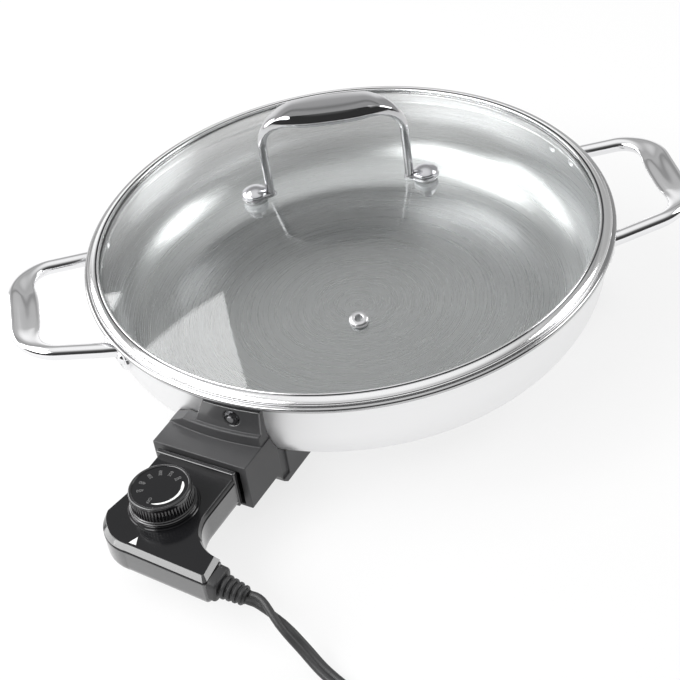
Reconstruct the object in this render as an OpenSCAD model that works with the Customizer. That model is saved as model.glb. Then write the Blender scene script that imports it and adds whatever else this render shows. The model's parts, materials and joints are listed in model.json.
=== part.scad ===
/* [Pan] */
// inner radius of the bowl's wall
bowl_r = 152; // [136:1:170]
// width of the rim, from the bowl's wall to its outer edge
rim_w = 7; // [5:0.5:12]
// height of the rim's top above the table
rim_z = 71; // [60:1:110]
// depth of the bowl's outside, rim top to underside
pan_depth = 59; // [50:1:66]
// sheet thickness of the bowl
sheet = 1.2; // [0.8:0.1:2]
// outer radius of the corner between wall and floor
corner_r = 40; // [20:1:44]
// radius of the rim's rolled bead
bead_r = 1.7; // [1:0.1:2.5]

/* [Heating] */
// radius of the cast heat plate under the floor
plate_r = 110; // [96:1:112]
// thickness of the heat plate
plate_t = 4.5; // [3:0.5:6]
// radius of the heating element's ring
ring_r = 85; // [60:1:95]
// diameter of the element's sheath
sheath_d = 6.4; // [5:0.2:8]
// sideways offset of each element leg from the guard's axis
pin_y = 13; // [10:0.5:16]
// height of the pins and probe above the table
pin_z = 24; // [22:0.5:28]
// diameter of a terminal pin
pin_d = 4.8; // [4:0.1:6]
// diameter of the temperature probe
probe_d = 6; // [5:0.1:7]

/* [Guard and legs] */
// direction of the guard and control, turned from the right handle
guard_turn = 230; // [180:1:300]
// width of the guard's hood
hood_w = 60; // [54:1:80]
// reach of the hood's front beyond the pan's wall
hood_out = 22.8; // [18:0.2:36]
// height of the hood's top above the table
hood_z = 43; // [40:1:50]
// wall thickness of the hood
hood_t = 4.5; // [3:0.5:6]
// clear width between the guard's two feet
foot_gap = 36; // [32:1:44]
// distance of the guard's pads and screws to each side of its middle
foot_y = 24; // [22:0.5:28]
// spread of the rear legs to each side of the guard's far end
leg_spread = 60; // [40:1:80]
// width of a rear leg
leg_w = 34; // [24:1:50]
// radius of a rubber foot pad
pad_r = 4.5; // [3:0.5:6]

/* [Side handles] */
// spacing of a handle's two legs
handle_w = 94; // [80:1:104]
// reach of a handle beyond the pan's wall
handle_out = 53.3; // [44:0.1:66]
// height of the handles above the table
handle_z = 57; // [52:1:58]
// diameter of the handle's rod
rod_d = 9; // [6:0.5:10]
// width of the flattened grip
grip_w = 15.5; // [10:0.5:22]
// thickness of the flattened grip
grip_t = 6.4; // [5:0.2:9]
// outer radius of a handle's corners
handle_bend = 30; // [24:1:34]
// inward slant of a handle's legs, in degrees
handle_taper = 8; // [0:1:12]
// upward tilt of a handle, in degrees
handle_tilt = 5.5; // [0:0.5:10]
// half length of a riveted plate
plate_half = 17; // [15:1:20]
// distance of a rivet from the handle's leg
rivet_x = 10.5; // [9:0.5:12]

/* [Lid] */
// turn of the lid about the pan's axis
lid_turn = -8.6; // [-90:0.1:90]
// rise of the glass top above the rim's top
lid_rise = 33.5; // [28:0.5:50]
// thickness of the lid's glass
glass_t = 4; // [3:0.5:6]
// distance of a lid bolt from the lid's centre
bolt_x = 50; // [40:1:60]
// distance of a lid-handle leg from the lid's centre
lid_leg_x = 41; // [30:1:45]
// height of the lid handle above its feet
lid_handle_h = 55; // [40:1:65]
// width of the lid handle's grip
lid_grip_w = 24; // [12:1:30]
// diameter of the lid handle's legs
lid_rod_d = 5; // [4:0.5:7]
// distance of the steam vent from the glass's edge
vent_in = 41.7; // [26:0.1:80]
// turn of the steam vent from the lid handle
vent_turn = -88; // [-120:1:-60]

/* [Control] */
// distance of the dial's axis from the neck's end
dial_out = 30; // [27:0.5:40]
// diameter of the dial
dial_d = 34.4; // [30:0.2:38]
// height of the dial over its seat
dial_h = 11.5; // [8:0.5:16]
// number of ribs round the dial
dial_ribs = 44; // [24:1:60]
// height of the control's top above the table
control_z = 38; // [37:0.5:40]
// height of the control's underside above the table
control_low = 19.5; // [18:0.5:20]
// height of the line where the control's halves meet
parting_z = 35.6; // [33:0.2:36]
// half width of the control's neck
neck_half = 25.2; // [23:0.2:26]
// distance of the control's rounded front corner from the dial's axis
front_out = 35; // [30:0.5:42]
// slant of the control's front edge, in degrees
front_turn = 3.4; // [0:0.1:5]
// sideways reach of the arm that the cord leaves
arm_end = 49.5; // [48:0.5:56]
// length of the ribbed cord sleeve
sleeve_l = 20; // [14:1:30]
// downward tilt of the cord sleeve
sleeve_tilt = 10; // [0:1:15]

/* [Cord] */
// width of the flat twin cord
cord_w = 7.6; // [6:0.2:9]
// thickness of the flat twin cord
cord_t = 4.2; // [3:0.2:5]
// outer radius of the cord's coil at the middle of the cord
coil_r = 48; // [44:1:60]
// distance between neighbouring turns of the coil
coil_pitch = 8.6; // [8:0.1:10]
// turns of the coil's lower layer
coil_in = 1.75; // [1.5:0.05:2]
// turns of the coil's upper layer
coil_out = 0.55; // [0.4:0.05:0.6]
// rise from the coil's lower layer to its upper one
coil_step = 5.2; // [4.8:0.1:6]
// straight cord between the coil and the plug
coil_tail = 52; // [40:1:80]
// part of a turn over which the coil climbs to its upper layer
coil_climb = 0.3; // [0.25:0.05:0.35]

/* [Hidden] */
$fn = 96;

rim_r = bowl_r + rim_w;
wall_r = bowl_r + sheet;
hood_front = wall_r + hood_out;
handle_reach = wall_r + handle_out;
floor_z = rim_z - pan_depth;
corner_c = wall_r - corner_r;
corner_z = floor_z + corner_r;
under_z = floor_z - plate_t;
fit = 0.15;
sheath_r = sheath_d / 2;
pad_h = 3;
foot_z = 1.2;
plate_h = 16.5;
plate_out = wall_r + 2.8;
leg_a = asin(handle_w / 2 / plate_out);
rivet_a = rivet_x / plate_out * 180 / PI;
socket_u = hood_front - 22;
pin_in = socket_u - 2;
pin_end = hood_front - 4;
mouth_z = pin_z - 9;
ear_u = plate_r - 6;
foot_u = wall_r - 26.2;
rear_screw_u = plate_r - 10;
rear_foot_u = wall_r - 29.2;
contact_r = pin_d / 2 + 1;
slope_u = foot_u;
slope_end = socket_u - 6;
elbow = 0.4;
chrome = [0.80, 0.81, 0.83];
steel = [0.70, 0.71, 0.72];
black = [0.10, 0.10, 0.11];
charcoal = [0.24, 0.24, 0.25];
rubber = [0.16, 0.16, 0.16];

module guard_frame() {
  rotate([0, 0, guard_turn])
    children();
}

module lid_frame() {
  rotate([0, 0, lid_turn])
    children();
}

// a closed skin over a row of rings with the same number of points
module skin(rings, caps = []) {
  n = len(rings[0]);
  m = len(rings);
  points = [for (r = rings) for (p = r) p];
  sides = [for (j = [0:m - 2]) for (i = [0:n - 1]) let (a = j * n + i, b = j * n + (i + 1) % n)
    each [[a, b + n, b], [a, a + n, b + n]]];
  first = len(caps) > 0 ? caps : [[for (i = [0:n - 1]) i]];
  last = [for (f = first) [for (i = [len(f) - 1:-1:0]) f[i] + (m - 1) * n]];
  polyhedron(points = points, faces = concat(sides, first, last), convexity = 8);
}

// an oval ring of n points at c, half size ra along a and rb along b
function oval(c, a, b, ra, rb, n) = [for (i = [0:n - 1])
  c + a * ra * cos(360 * i / n) + b * rb * sin(360 * i / n)];
function unit(v) = v / norm(v);
function ease(t) = let (s = max(0, min(1, t))) s * s * (3 - 2 * s);

// filled outline of the pan's outside, c larger all round
module pan_shape(c) {
  translate([0, floor_z - c])
    square([corner_c, pan_depth + c]);
  translate([corner_c, corner_z])
    intersection() {
      circle(corner_r + c);
      translate([0, -2 * corner_r])
        square([2 * corner_r, 2 * corner_r]);
    }
  translate([corner_c - 1, corner_z])
    square([corner_r + 1 + c, rim_z - corner_z]);
}

module pan_block(c) {
  rotate_extrude()
    pan_shape(c);
  translate([0, 0, under_z - c])
    cylinder(r = plate_r + c, h = plate_t + 2 * c);
}

// stations round the pan's wall for the handle rivets
module at_rivets() {
  for (side = [0, 180])
    for (leg = [-1, 1])
      for (end = [-1, 1])
        rotate([0, 0, side + leg * leg_a + end * rivet_a])
          translate([0, 0, handle_z])
            rotate([0, 90, 0])
              children();
}

stud_turn = 4.6;
stud_z = 58;

module pan_body() {
  color(chrome)
    difference() {
      rotate_extrude()
        union() {
          difference() {
            pan_shape(0);
            translate([-1, floor_z + sheet])
              square([corner_c + 1, pan_depth]);
            translate([corner_c, corner_z])
              circle(corner_r - sheet);
            translate([corner_c - 1, corner_z])
              square([corner_r + 1 - sheet, pan_depth]);
          }
          translate([bowl_r, rim_z - 1.4])
            square([rim_r - bead_r - bowl_r, 1.4]);
          translate([rim_r - bead_r, rim_z - bead_r])
            circle(bead_r);
        }
      at_rivets()
        translate([0, 0, bowl_r - 2])
          cylinder(r = 2.2, h = 8);
    }
}

leg_start = sqrt(ring_r * ring_r - pin_y * pin_y);

// the element's two legs, from the ring to the pins
module element_legs() {
  for (side = [-1, 1])
    translate([0, side * pin_y, 0]) {
      translate([leg_start, 0, under_z])
        rotate([0, 90, 0])
          cylinder(r = sheath_r, h = slope_u - leg_start);
      translate([leg_start, 0, under_z])
        sphere(sheath_r + elbow);
      translate([slope_u, 0, under_z])
        sphere(sheath_r + elbow);
      translate([slope_u, 0, under_z])
        rotate([0, atan2(slope_end - slope_u, pin_z - under_z), 0])
          cylinder(r = sheath_r, h = norm([slope_end - slope_u, pin_z - under_z]));
      translate([slope_end, 0, pin_z])
        sphere(sheath_r + elbow);
      translate([slope_end, 0, pin_z])
        rotate([0, 90, 0])
          cylinder(r = sheath_r, h = pin_in - slope_end);
    }
}

end_a = asin(pin_y / ring_r);

module element_ring() {
  rotate([0, 0, end_a])
    translate([0, 0, under_z])
      rotate_extrude(angle = 360 - 2 * end_a)
        translate([ring_r, 0])
          circle(sheath_r);
}

module heat_plate() {
  color(steel)
    guard_frame()
      difference() {
        translate([0, 0, under_z])
          cylinder(r = plate_r, h = plate_t);
        translate([0, 0, under_z - 1])
          rotate_extrude()
            translate([ring_r - sheath_r - 0.5, 0])
              square([sheath_d + 1, sheath_r + elbow + 1 + fit]);
        for (side = [-1, 1])
          translate([leg_start, side * pin_y - sheath_r - 0.5, under_z - 1])
            cube([plate_r, sheath_d + 1, sheath_r + elbow + 1 + fit]);
        for (side = [-1, 1])
          translate([ear_u, side * foot_y, under_z - 1])
            cylinder(r = 1.6, h = 4);
        for (side = [-1, 1])
          rotate([0, 0, 180 + side * leg_spread])
            translate([rear_screw_u, 0, under_z - 1])
              cylinder(r = 1.6, h = 4);
      }
}

module heating_element() {
  color([0.33, 0.31, 0.29])
    guard_frame()
      union() {
        element_ring();
        element_legs();
      }
}

module element_pins() {
  color(steel)
    guard_frame()
      for (side = [-1, 1])
        translate([pin_in, side * pin_y, pin_z])
          rotate([0, 90, 0]) {
            cylinder(r = pin_d / 2, h = pin_end - pin_in - 1.2);
            translate([0, 0, pin_end - pin_in - 1.2])
              cylinder(r1 = pin_d / 2, r2 = pin_d / 2 - 1.2, h = 1.2);
          }
}

module terminal_bushings() {
  color([0.90, 0.88, 0.82])
    guard_frame()
      for (side = [-1, 1])
        translate([0, side * pin_y, pin_z])
          rotate([0, 90, 0])
            difference() {
              union() {
                translate([0, 0, pin_in + 0.6])
                  cylinder(r = 4.2, h = 4.6);
                translate([0, 0, socket_u + 1.2])
                  cylinder(r = 5.6, h = 2);
              }
              translate([0, 0, pin_in])
                cylinder(r = pin_d / 2, h = 20);
            }
}

module probe_well() {
  color(steel)
    guard_frame()
      translate([socket_u - 8, 0, pin_z])
        rotate([0, 90, 0])
          difference() {
            union() {
              cylinder(r = probe_d / 2 + 1.2, h = 17);
              translate([0, 0, 9.2])
                cylinder(r = probe_d / 2 + 2.6, h = 1.4);
            }
            translate([0, 0, 1.2])
              cylinder(r = probe_d / 2 + 0.3, h = 30);
          }
}

module socket_plate() {
  color(steel)
    guard_frame()
      difference() {
        translate([socket_u, -hood_w / 2 + hood_t, mouth_z])
          cube([1.2, hood_w - 2 * hood_t, hood_z - hood_t - mouth_z]);
        for (side = [-1, 1])
          translate([socket_u - 1, side * pin_y, pin_z])
            rotate([0, 90, 0])
              cylinder(r = 4.2, h = 5);
        translate([socket_u - 1, 0, pin_z])
          rotate([0, 90, 0])
            cylinder(r = probe_d / 2 + 1.2, h = 5);
      }
}

// side view of the guard: ear under the plate, foot, hood
function guard_side() = [[ear_u - 6, under_z - 4], [foot_u - 14, under_z - 4], [foot_u - 12, foot_z],
  [foot_u + 14, foot_z], [foot_u + 17, 4], [foot_u + 20, 10], [foot_u + 23, 13], [hood_front, 13],
  [hood_front, hood_z], [foot_u + 3, hood_z], [ear_u - 6, 24]];

module probe_guard() {
  color(charcoal)
    guard_frame()
      difference() {
        union() {
          difference() {
            translate([0, hood_w / 2, 0])
              rotate([90, 0, 0])
                linear_extrude(height = hood_w)
                  polygon(guard_side());
            translate([ear_u - 14, -foot_gap / 2, -1])
              cube([socket_u - ear_u + 14, foot_gap, pin_z + 7]);
            translate([socket_u, -hood_w / 2 + hood_t, mouth_z])
              cube([40, hood_w - 2 * hood_t, hood_z - hood_t - mouth_z]);
            for (side = [-1, 1])
              translate([foot_u + 11, side * hood_w / 2 - 1.2, 6])
                cube([7, 2.4, 60]);
          }
          intersection() {
            rotate([0, 0, -15])
              rotate_extrude(angle = 30)
                polygon([[corner_c, hood_z - 4], [wall_r + 8, hood_z - 4], [wall_r + 8, hood_z + 6.4],
                  [wall_r + 7.4, hood_z + 7], [wall_r + 5.6, hood_z + 7], [wall_r + 3.6, rim_z - 6.6],
                  [corner_c, rim_z - 6.6]]);
            translate([corner_c - 13, 0, 0])
              rotate([90, 0, 90])
                linear_extrude(height = corner_r + 40)
                  polygon([[-hood_w / 2 + 0.5, hood_z - 3], [hood_w / 2 - 0.5, hood_z - 3],
                    [hood_w / 2 - 0.5, rim_z - 5], [-5, rim_z - 5], [-11.5, hood_z + 7],
                    [-19, hood_z + 7], [-hood_w / 2 + 0.5, hood_z + 1]]);
          }
        }
        pan_block(fit);
        rotate([0, 0, stud_turn])
          translate([wall_r - 2, 0, stud_z])
            rotate([0, 90, 0]) {
              cylinder(r = 2.3, h = 20);
              translate([0, 0, 5.4])
                cylinder(r = 5, h = 20);
            }
        for (side = [-1, 1]) {
          translate([foot_u, side * foot_y, 0])
            cylinder(r = pad_r + 0.05, h = pad_h);
          translate([ear_u, side * foot_y, 0])
            screw_hole();
        }
      }
}

module guard_stud() {
  color(steel)
    guard_frame()
      rotate([0, 0, stud_turn])
        translate([wall_r + 0.03, 0, stud_z])
          rotate([0, 90, 0])
            cylinder(r = 2, h = 6);
}

module guard_nut() {
  color(chrome)
    guard_frame()
      rotate([0, 0, stud_turn])
        translate([wall_r + 3.4, 0, stud_z])
          rotate([0, 90, 0])
            difference() {
              union() {
                cylinder(r = 4.4, h = 0.8);
                cylinder(r = 4, h = 2, $fn = 6);
              }
              translate([0, 0, -1])
                cylinder(r = 2, h = 3.6);
            }
}

// a pan-head screw, head down, its shank upward for len
module up_screw(len) {
  cylinder(r = 1.5, h = len);
  difference() {
    translate([0, 0, -1.6])
      cylinder(r1 = 2.4, r2 = 3, h = 1.6);
    translate([-0.4, -2, -1.7])
      cube([0.8, 4, 0.7]);
    translate([-2, -0.4, -1.7])
      cube([4, 0.8, 0.7]);
  }
}

// the hole for such a screw in a leg, with room for its head below the leg's ear
module screw_hole() {
  cylinder(r = 1.9, h = 20);
  translate([0, 0, -1])
    cylinder(r = 3.3, h = under_z - 3);
}

module guard_screws() {
  color(steel)
    guard_frame()
      for (side = [-1, 1])
        translate([ear_u, side * foot_y, under_z - 4])
          up_screw(6.8);
}

module rear_legs() {
  color(charcoal)
    guard_frame()
      for (side = [-1, 1])
        rotate([0, 0, 180 + side * leg_spread])
          difference() {
            translate([0, leg_w / 2, 0])
              rotate([90, 0, 0])
                linear_extrude(height = leg_w)
                  polygon([[rear_screw_u - 6, under_z - 4], [rear_foot_u - 15, under_z - 4],
                    [rear_foot_u - 12, foot_z], [rear_foot_u + 12, foot_z], [rear_foot_u + 16, 5],
                    [rear_foot_u + 22, 22], [rear_foot_u + 22, 28], [rear_foot_u - 4, 28],
                    [rear_screw_u - 6, 20]]);
            pan_block(fit);
            translate([rear_foot_u - 12, -leg_w / 2 + 3, 4.5])
              cube([24, leg_w - 6, 1.5]);
            translate([rear_foot_u, 0, 0])
              cylinder(r = pad_r + 0.05, h = pad_h);
            translate([rear_screw_u, 0, 0])
              screw_hole();
          }
}

module leg_screws() {
  color(steel)
    guard_frame()
      for (side = [-1, 1])
        rotate([0, 0, 180 + side * leg_spread])
          translate([rear_screw_u, 0, under_z - 4])
            up_screw(6.8);
}

module foot_pads() {
  color(rubber)
    guard_frame() {
      for (side = [-1, 1])
        translate([foot_u, side * foot_y, 0])
          cylinder(r = pad_r, h = pad_h);
      for (side = [-1, 1])
        rotate([0, 0, 180 + side * leg_spread])
          translate([rear_foot_u, 0, 0])
            cylinder(r = pad_r, h = pad_h);
    }
}

// the handle's outer edge, as stations [x, y, angle of its outward normal]
hc = handle_w / 2 + rod_d / 2;
leg_x = plate_out * cos(leg_a);
bend_x = handle_reach - handle_bend;
bend_a = handle_taper - 90;
bend_y = handle_bend * cos(handle_taper) - hc
  + (bend_x + handle_bend * sin(handle_taper) - leg_x) * tan(handle_taper);
half_line = concat(
  [for (x = [leg_x, (leg_x + bend_x) / 2]) [x, -hc + (x - leg_x) * tan(handle_taper), bend_a]],
  [for (k = [0:8]) let (a = bend_a * (1 - k / 8))
    [bend_x + handle_bend * cos(a), bend_y + handle_bend * sin(a), a]]);
handle_line = concat(
  half_line,
  [for (k = [1:7]) [handle_reach, bend_y * (1 - k / 4), 0]],
  [for (i = [len(half_line) - 1:-1:0]) [half_line[i][0], -half_line[i][1], -half_line[i][2]]]);

// how much of the grip's flattening a station has
function grip_share(y) = ease(1.25 * (1 - pow(abs(y) / (handle_w * 0.40), 2)));

function tilted(p) = [leg_x + (p[0] - leg_x) * cos(handle_tilt) - p[2] * sin(handle_tilt), p[1],
  handle_z + (p[0] - leg_x) * sin(handle_tilt) + p[2] * cos(handle_tilt)];
function handle_ring(s) = let (
  k = grip_share(s[1]),
  ra = (rod_d * (1 - k) + grip_w * k) / 2,
  rb = (rod_d * (1 - k) + grip_t * k) / 2,
  out = [cos(s[2]), sin(s[2]), 0],
  c = [s[0], s[1], 0] - out * ra)
  [for (p = oval(c, out, [0, 0, -1], ra, rb, 16)) tilted(p)];

// the end ring of a leg, laid halfway into its plate
function seated(ring) = [for (p = ring) [sqrt(pow(wall_r + 1.4, 2) - p[1] * p[1]), p[1], p[2]]];
handle_end = len(handle_line) - 1;
handle_rings = [for (i = [0:handle_end]) let (r = handle_ring(handle_line[i]))
  i == 0 || i == handle_end ? seated(r) : r];
handle_caps = [for (i = [1:14]) [0, i, i + 1]];

module handle_plate() {
  difference() {
    intersection() {
      rotate([0, 0, -10])
        rotate_extrude(angle = 20)
          translate([wall_r, handle_z - plate_h])
            square([plate_out - wall_r, 2 * plate_h]);
      translate([wall_r - 20, 0, handle_z])
        rotate([0, 90, 0])
          linear_extrude(height = 40)
            union() {
              for (end = [-1, 1])
                translate([0, end * (plate_half - plate_h / 2)])
                  circle(plate_h / 2);
              square([plate_h, 2 * plate_half - plate_h], center = true);
            }
    }
    for (end = [-1, 1])
      rotate([0, 0, end * rivet_a])
        translate([wall_r - 2, 0, handle_z])
          rotate([0, 90, 0])
            cylinder(r = 2.2, h = 8);
  }
}

module handle() {
  union() {
    skin(handle_rings, handle_caps);
    for (leg = [-1, 1])
      rotate([0, 0, leg * leg_a])
        handle_plate();
  }
}

module handle_left() {
  color(chrome)
    rotate([0, 0, 180])
      handle();
}

module handle_right() {
  color(chrome)
    handle();
}

// a low dome of radius r and height h, flat side down
module dome(r, h) {
  big = (r * r + h * h) / (2 * h);
  rotate_extrude()
    intersection() {
      translate([0, h - big])
        circle(big);
      square([r, h]);
    }
}

module handle_rivets() {
  color(chrome)
    at_rivets() {
      translate([0, 0, bowl_r - 0.3])
        cylinder(r = 2.2, h = plate_out - bowl_r + 0.6);
      translate([0, 0, plate_out])
        dome(4, 2);
      translate([0, 0, bowl_r - 0.08])
        mirror([0, 0, 1])
          dome(3.6, 1.2);
    }
}

edge_r = bowl_r - 1.8;
edge_z = rim_z + 2;
vent_r = edge_r - vent_in;
dome_r = (edge_r * edge_r + (lid_rise - 2) * (lid_rise - 2)) / (2 * (lid_rise - 2));
dome_z = rim_z + lid_rise - dome_r;
function glass_top(r) = dome_z + sqrt(dome_r * dome_r - r * r);
function glass_under(r) = dome_z + sqrt((dome_r - glass_t) * (dome_r - glass_t) - r * r);
tab_z = glass_top(bolt_x - 7) + 0.6;
tab_t = 2.5;

module at_bolts() {
  lid_frame()
    for (side = [0, 180])
      rotate([0, 0, side])
        translate([bolt_x, 0, 0])
          children();
}

module at_vent() {
  lid_frame()
    rotate([0, 0, vent_turn])
      translate([0, 0, dome_z])
        rotate([0, asin(vent_r / dome_r), 0])
          translate([0, 0, dome_r])
            children();
}

module lid_glass() {
  color([0.75, 0.85, 0.88, 0.4])
    difference() {
      intersection() {
        translate([0, 0, dome_z])
          difference() {
            sphere(dome_r);
            sphere(dome_r - glass_t);
          }
        translate([0, 0, rim_z - 12])
          cylinder(r = edge_r, h = lid_rise + 20);
      }
      at_bolts()
        translate([0, 0, rim_z])
          cylinder(r = 3.2, h = 80);
      at_vent()
        translate([0, 0, -20])
          cylinder(r = 3.4, h = 40);
    }
}

module lid_band() {
  color(steel)
    rotate_extrude()
      polygon([[edge_r - 2.2, glass_under(edge_r) - 1], [edge_r + 1, glass_under(edge_r) - 1],
        [edge_r + 1, rim_z], [rim_r - 2.8, rim_z], [rim_r - 2.2, rim_z + 0.6],
        [rim_r - 2.2, rim_z + 2.2], [rim_r - 2.6, rim_z + 3], [rim_r - 3.4, rim_z + 3.4],
        [edge_r + 1, rim_z + 3.7], [edge_r - 0.8, rim_z + 3.7],
        [edge_r - 0.8, glass_top(edge_r - 0.8) + 0.1], [edge_r, edge_z + 0.1],
        [edge_r, glass_under(edge_r)], [edge_r - 2.2, glass_under(edge_r)]]);
}

lid_bend = 24;
lid_top = tab_z + tab_t + lid_handle_h;
lid_out = lid_leg_x + lid_rod_d / 2;
function lid_line() = concat(
  [for (z = [tab_z + tab_t, tab_z + 12, lid_top - lid_bend]) [-lid_out, z, 180]],
  [for (a = [10:10:90])
    [-lid_out + lid_bend - lid_bend * cos(a), lid_top - lid_bend + lid_bend * sin(a), 180 - a]],
  [for (k = [1:7]) [(-lid_out + lid_bend) * (1 - k / 4), lid_top, 90]],
  [for (a = [90:-10:0])
    [lid_out - lid_bend + lid_bend * cos(a), lid_top - lid_bend + lid_bend * sin(a), a]],
  [for (z = [tab_z + 12, tab_z + tab_t]) [lid_out, z, 0]]);

function lid_ring(s) = let (
  k = 1 - pow(abs(s[0]) / lid_out, 2),
  rise = s[1] > lid_top - lid_bend ? k : 0,
  ra = lid_rod_d / 2 + rise,
  rb = (lid_rod_d * (1 - rise) + lid_grip_w * rise) / 2,
  out = [cos(s[2]), 0, sin(s[2])],
  c = [s[0], 0, s[1]] - out * ra)
  oval(c, out, [0, -1, 0], ra, rb, 16);

module lid_handle() {
  color(chrome)
    lid_frame()
      union() {
        skin([for (s = lid_line()) lid_ring(s)]);
        for (side = [0, 180])
          rotate([0, 0, side])
            translate([0, 0, tab_z])
              difference() {
                union() {
                  translate([bolt_x, 0, 0])
                    cylinder(r = 8, h = tab_t);
                  translate([lid_leg_x - lid_rod_d / 2 - 1, -5, 0])
                    cube([bolt_x - lid_leg_x + lid_rod_d / 2 + 1, 10, tab_t]);
                }
                translate([bolt_x, 0, -1])
                  cylinder(r = 2.7, h = 6);
              }
      }
}

nut_z = glass_under(bolt_x + 7) - 2.6;

module lid_bolts() {
  color(chrome)
    at_bolts() {
      translate([0, 0, nut_z - 7])
        cylinder(r = 2.5, h = tab_z + tab_t - nut_z + 7.2);
      translate([0, 0, tab_z + tab_t])
        cylinder(r = 6.6, h = 1.4);
      translate([0, 0, tab_z + tab_t + 1.4])
        dome(6.6, 4.6);
    }
}

module lid_washers() {
  color([0.55, 0.55, 0.56])
    at_bolts()
      difference() {
        translate([0, 0, tab_z - 6])
          cylinder(r = 7, h = 6);
        translate([0, 0, glass_top(bolt_x) + 0.02])
          rotate([0, asin(bolt_x / dome_r), 0])
            translate([-20, -20, -40])
              cube([40, 40, 40]);
        translate([0, 0, tab_z - 10])
          cylinder(r = 2.7, h = 20);
      }
}

module lid_seals() {
  color([0.55, 0.55, 0.56])
    at_bolts()
      difference() {
        translate([0, 0, nut_z])
          cylinder(r = 7, h = 8);
        translate([0, 0, glass_under(bolt_x) - 0.1])
          rotate([0, asin(bolt_x / (dome_r - glass_t)), 0])
            translate([-20, -20, 0])
              cube([40, 40, 40]);
        translate([0, 0, nut_z - 2])
          cylinder(r = 2.7, h = 20);
      }
}

module lid_nuts() {
  color(steel)
    at_bolts()
      translate([0, 0, nut_z - 5])
        difference() {
          union() {
            cylinder(r = 4.6, h = 5, $fn = 6);
            translate([0, 0, 4])
              cylinder(r = 5.6, h = 1);
          }
          translate([0, 0, -1])
            cylinder(r = 2.5, h = 8);
        }
}

module steam_vent() {
  color(steel)
    at_vent()
      difference() {
        union() {
          translate([0, 0, 0.02])
            dome(5.6, 1.8);
          translate([0, 0, -glass_t - 1])
            cylinder(r = 3.3, h = glass_t + 1.5);
          translate([0, 0, -glass_t - 1.2])
            cylinder(r = 5, h = 1.1);
        }
        translate([0, 0, -10])
          cylinder(r = 2, h = 20);
      }
}

nose_u = hood_front + 1.5;
nose_t = 3.5;
shell_u = nose_u + nose_t;

module control_nose() {
  color(black)
    guard_frame()
      difference() {
        union() {
          translate([nose_u, -neck_half, mouth_z + 2.2])
            cube([nose_t, 2 * neck_half, hood_z - mouth_z - 4]);
          translate([hood_front - 11, -neck_half + 3.2, mouth_z + 3.4])
            cube([14, 2 * neck_half - 6.4, hood_z - hood_t - mouth_z - 4.8]);
        }
        for (side = [-1, 1])
          translate([hood_front - 20, side * pin_y, pin_z])
            rotate([0, 90, 0])
              cylinder(r = contact_r, h = 50);
        translate([hood_front - 20, 0, pin_z])
          rotate([0, 90, 0])
            cylinder(r = probe_d / 2 + 0.05, h = 50);
      }
}

// the control seen from above, d inside its widest outline
dial_u = shell_u + dial_out;
control_front = dial_u + front_out;
cove_u = dial_u - 3.5;
cove_r = 24.2;
cove_v = neck_half + cove_r;
turn_u = dial_u + 11;
turn_v = -4;
turn_r = control_front - turn_u;
flare_u = dial_u + 1;
function front_at(d) = let (t = (arm_end - d - turn_v + (turn_r - d) * sin(front_turn)) / cos(front_turn))
  turn_u + (turn_r - d) * cos(front_turn) + t * sin(front_turn);
function control_line(d) = let (
  top = asin((arm_end - d - cove_v) / (cove_r + d)),
  step = (80 - front_turn) / 17)
  concat(
    [[shell_u, -neck_half + d], [flare_u, -neck_half + d]],
    [for (k = [0:17]) let (a = step * k - 80)
      [turn_u + (turn_r - d) * cos(a), turn_v + (turn_r - d) * sin(a)]],
    [[front_at(d), arm_end - d]],
    [for (k = [0:19]) let (a = top - (90 + top) * k / 19)
      [cove_u + (cove_r + d) * cos(a), cove_v + (cove_r + d) * sin(a)]],
    [[shell_u, neck_half - d]]);

// the same outline for a hollow d inside, run out through the neck's end
function hollow_line(d) = [for (p = control_line(d)) [p[0] == shell_u ? shell_u - 1 : p[0], p[1]]];
function control_ring(d, z) = [for (p = control_line(d)) [p[0], p[1], z]];
control_caps = [for (i = [0:19]) each [[i, 41 - i, 40 - i], [i, 40 - i, i + 1]]];

module control_top() {
  color(black)
    guard_frame()
      difference() {
        union() {
          difference() {
            skin([control_ring(0, parting_z), control_ring(0.2, control_z - 1.6),
              control_ring(0.7, control_z - 0.9), control_ring(1.8, control_z)], control_caps);
            translate([0, 0, parting_z - 1])
              linear_extrude(height = control_z - parting_z - 1)
                polygon(hollow_line(3.2));
          }
          translate([dial_u, 0, control_z - 1])
            cylinder(r = dial_d / 2 + 2.4, h = 1.8);
          translate([dial_u, 0, control_z - 1])
            cylinder(r = dial_d / 2 + 1.4, h = 3);
          for (p = screw_places)
            translate([p[0], p[1], control_low + 2.2])
              cylinder(r = 3.4, h = control_z - control_low - 3.2);
        }
        translate([dial_u, 0, 0])
          cylinder(r = 3.3, h = 60);
        for (p = screw_places)
          translate([p[0], p[1], control_low])
            cylinder(r = 1.6, h = control_z - control_low - 5);
      }
}

module control_bottom() {
  color([0.16, 0.16, 0.17])
    guard_frame()
      difference() {
        skin([control_ring(2.4, control_low), control_ring(1.2, control_low + 0.5),
          control_ring(0.4, control_low + 1.6), control_ring(0, control_low + 3.2),
          control_ring(0, parting_z)], control_caps);
        translate([0, 0, control_low + 2])
          linear_extrude(height = 40)
            polygon(hollow_line(3.2));
        for (p = screw_places)
          translate([p[0], p[1], control_low - 1])
            cylinder(r = 1.7, h = 10);
        translate([cord_u, arm_end - 6, cord_z])
          rotate([-90, 0, 0])
            cylinder(r = 4.4, h = 20);
        for (side = [-1, 1])
          translate([shell_u - 1, side * pin_y, pin_z])
            rotate([0, 90, 0])
              cylinder(r = contact_r + fit, h = contact_end - shell_u + 1 + fit);
        translate([shell_u - 1, 0, pin_z])
          rotate([0, 90, 0])
            cylinder(r = probe_d / 2 + fit, h = probe_end - shell_u + 1 + fit);
      }
}

contact_end = shell_u + 4.6;
probe_end = shell_u + 8;

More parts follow.
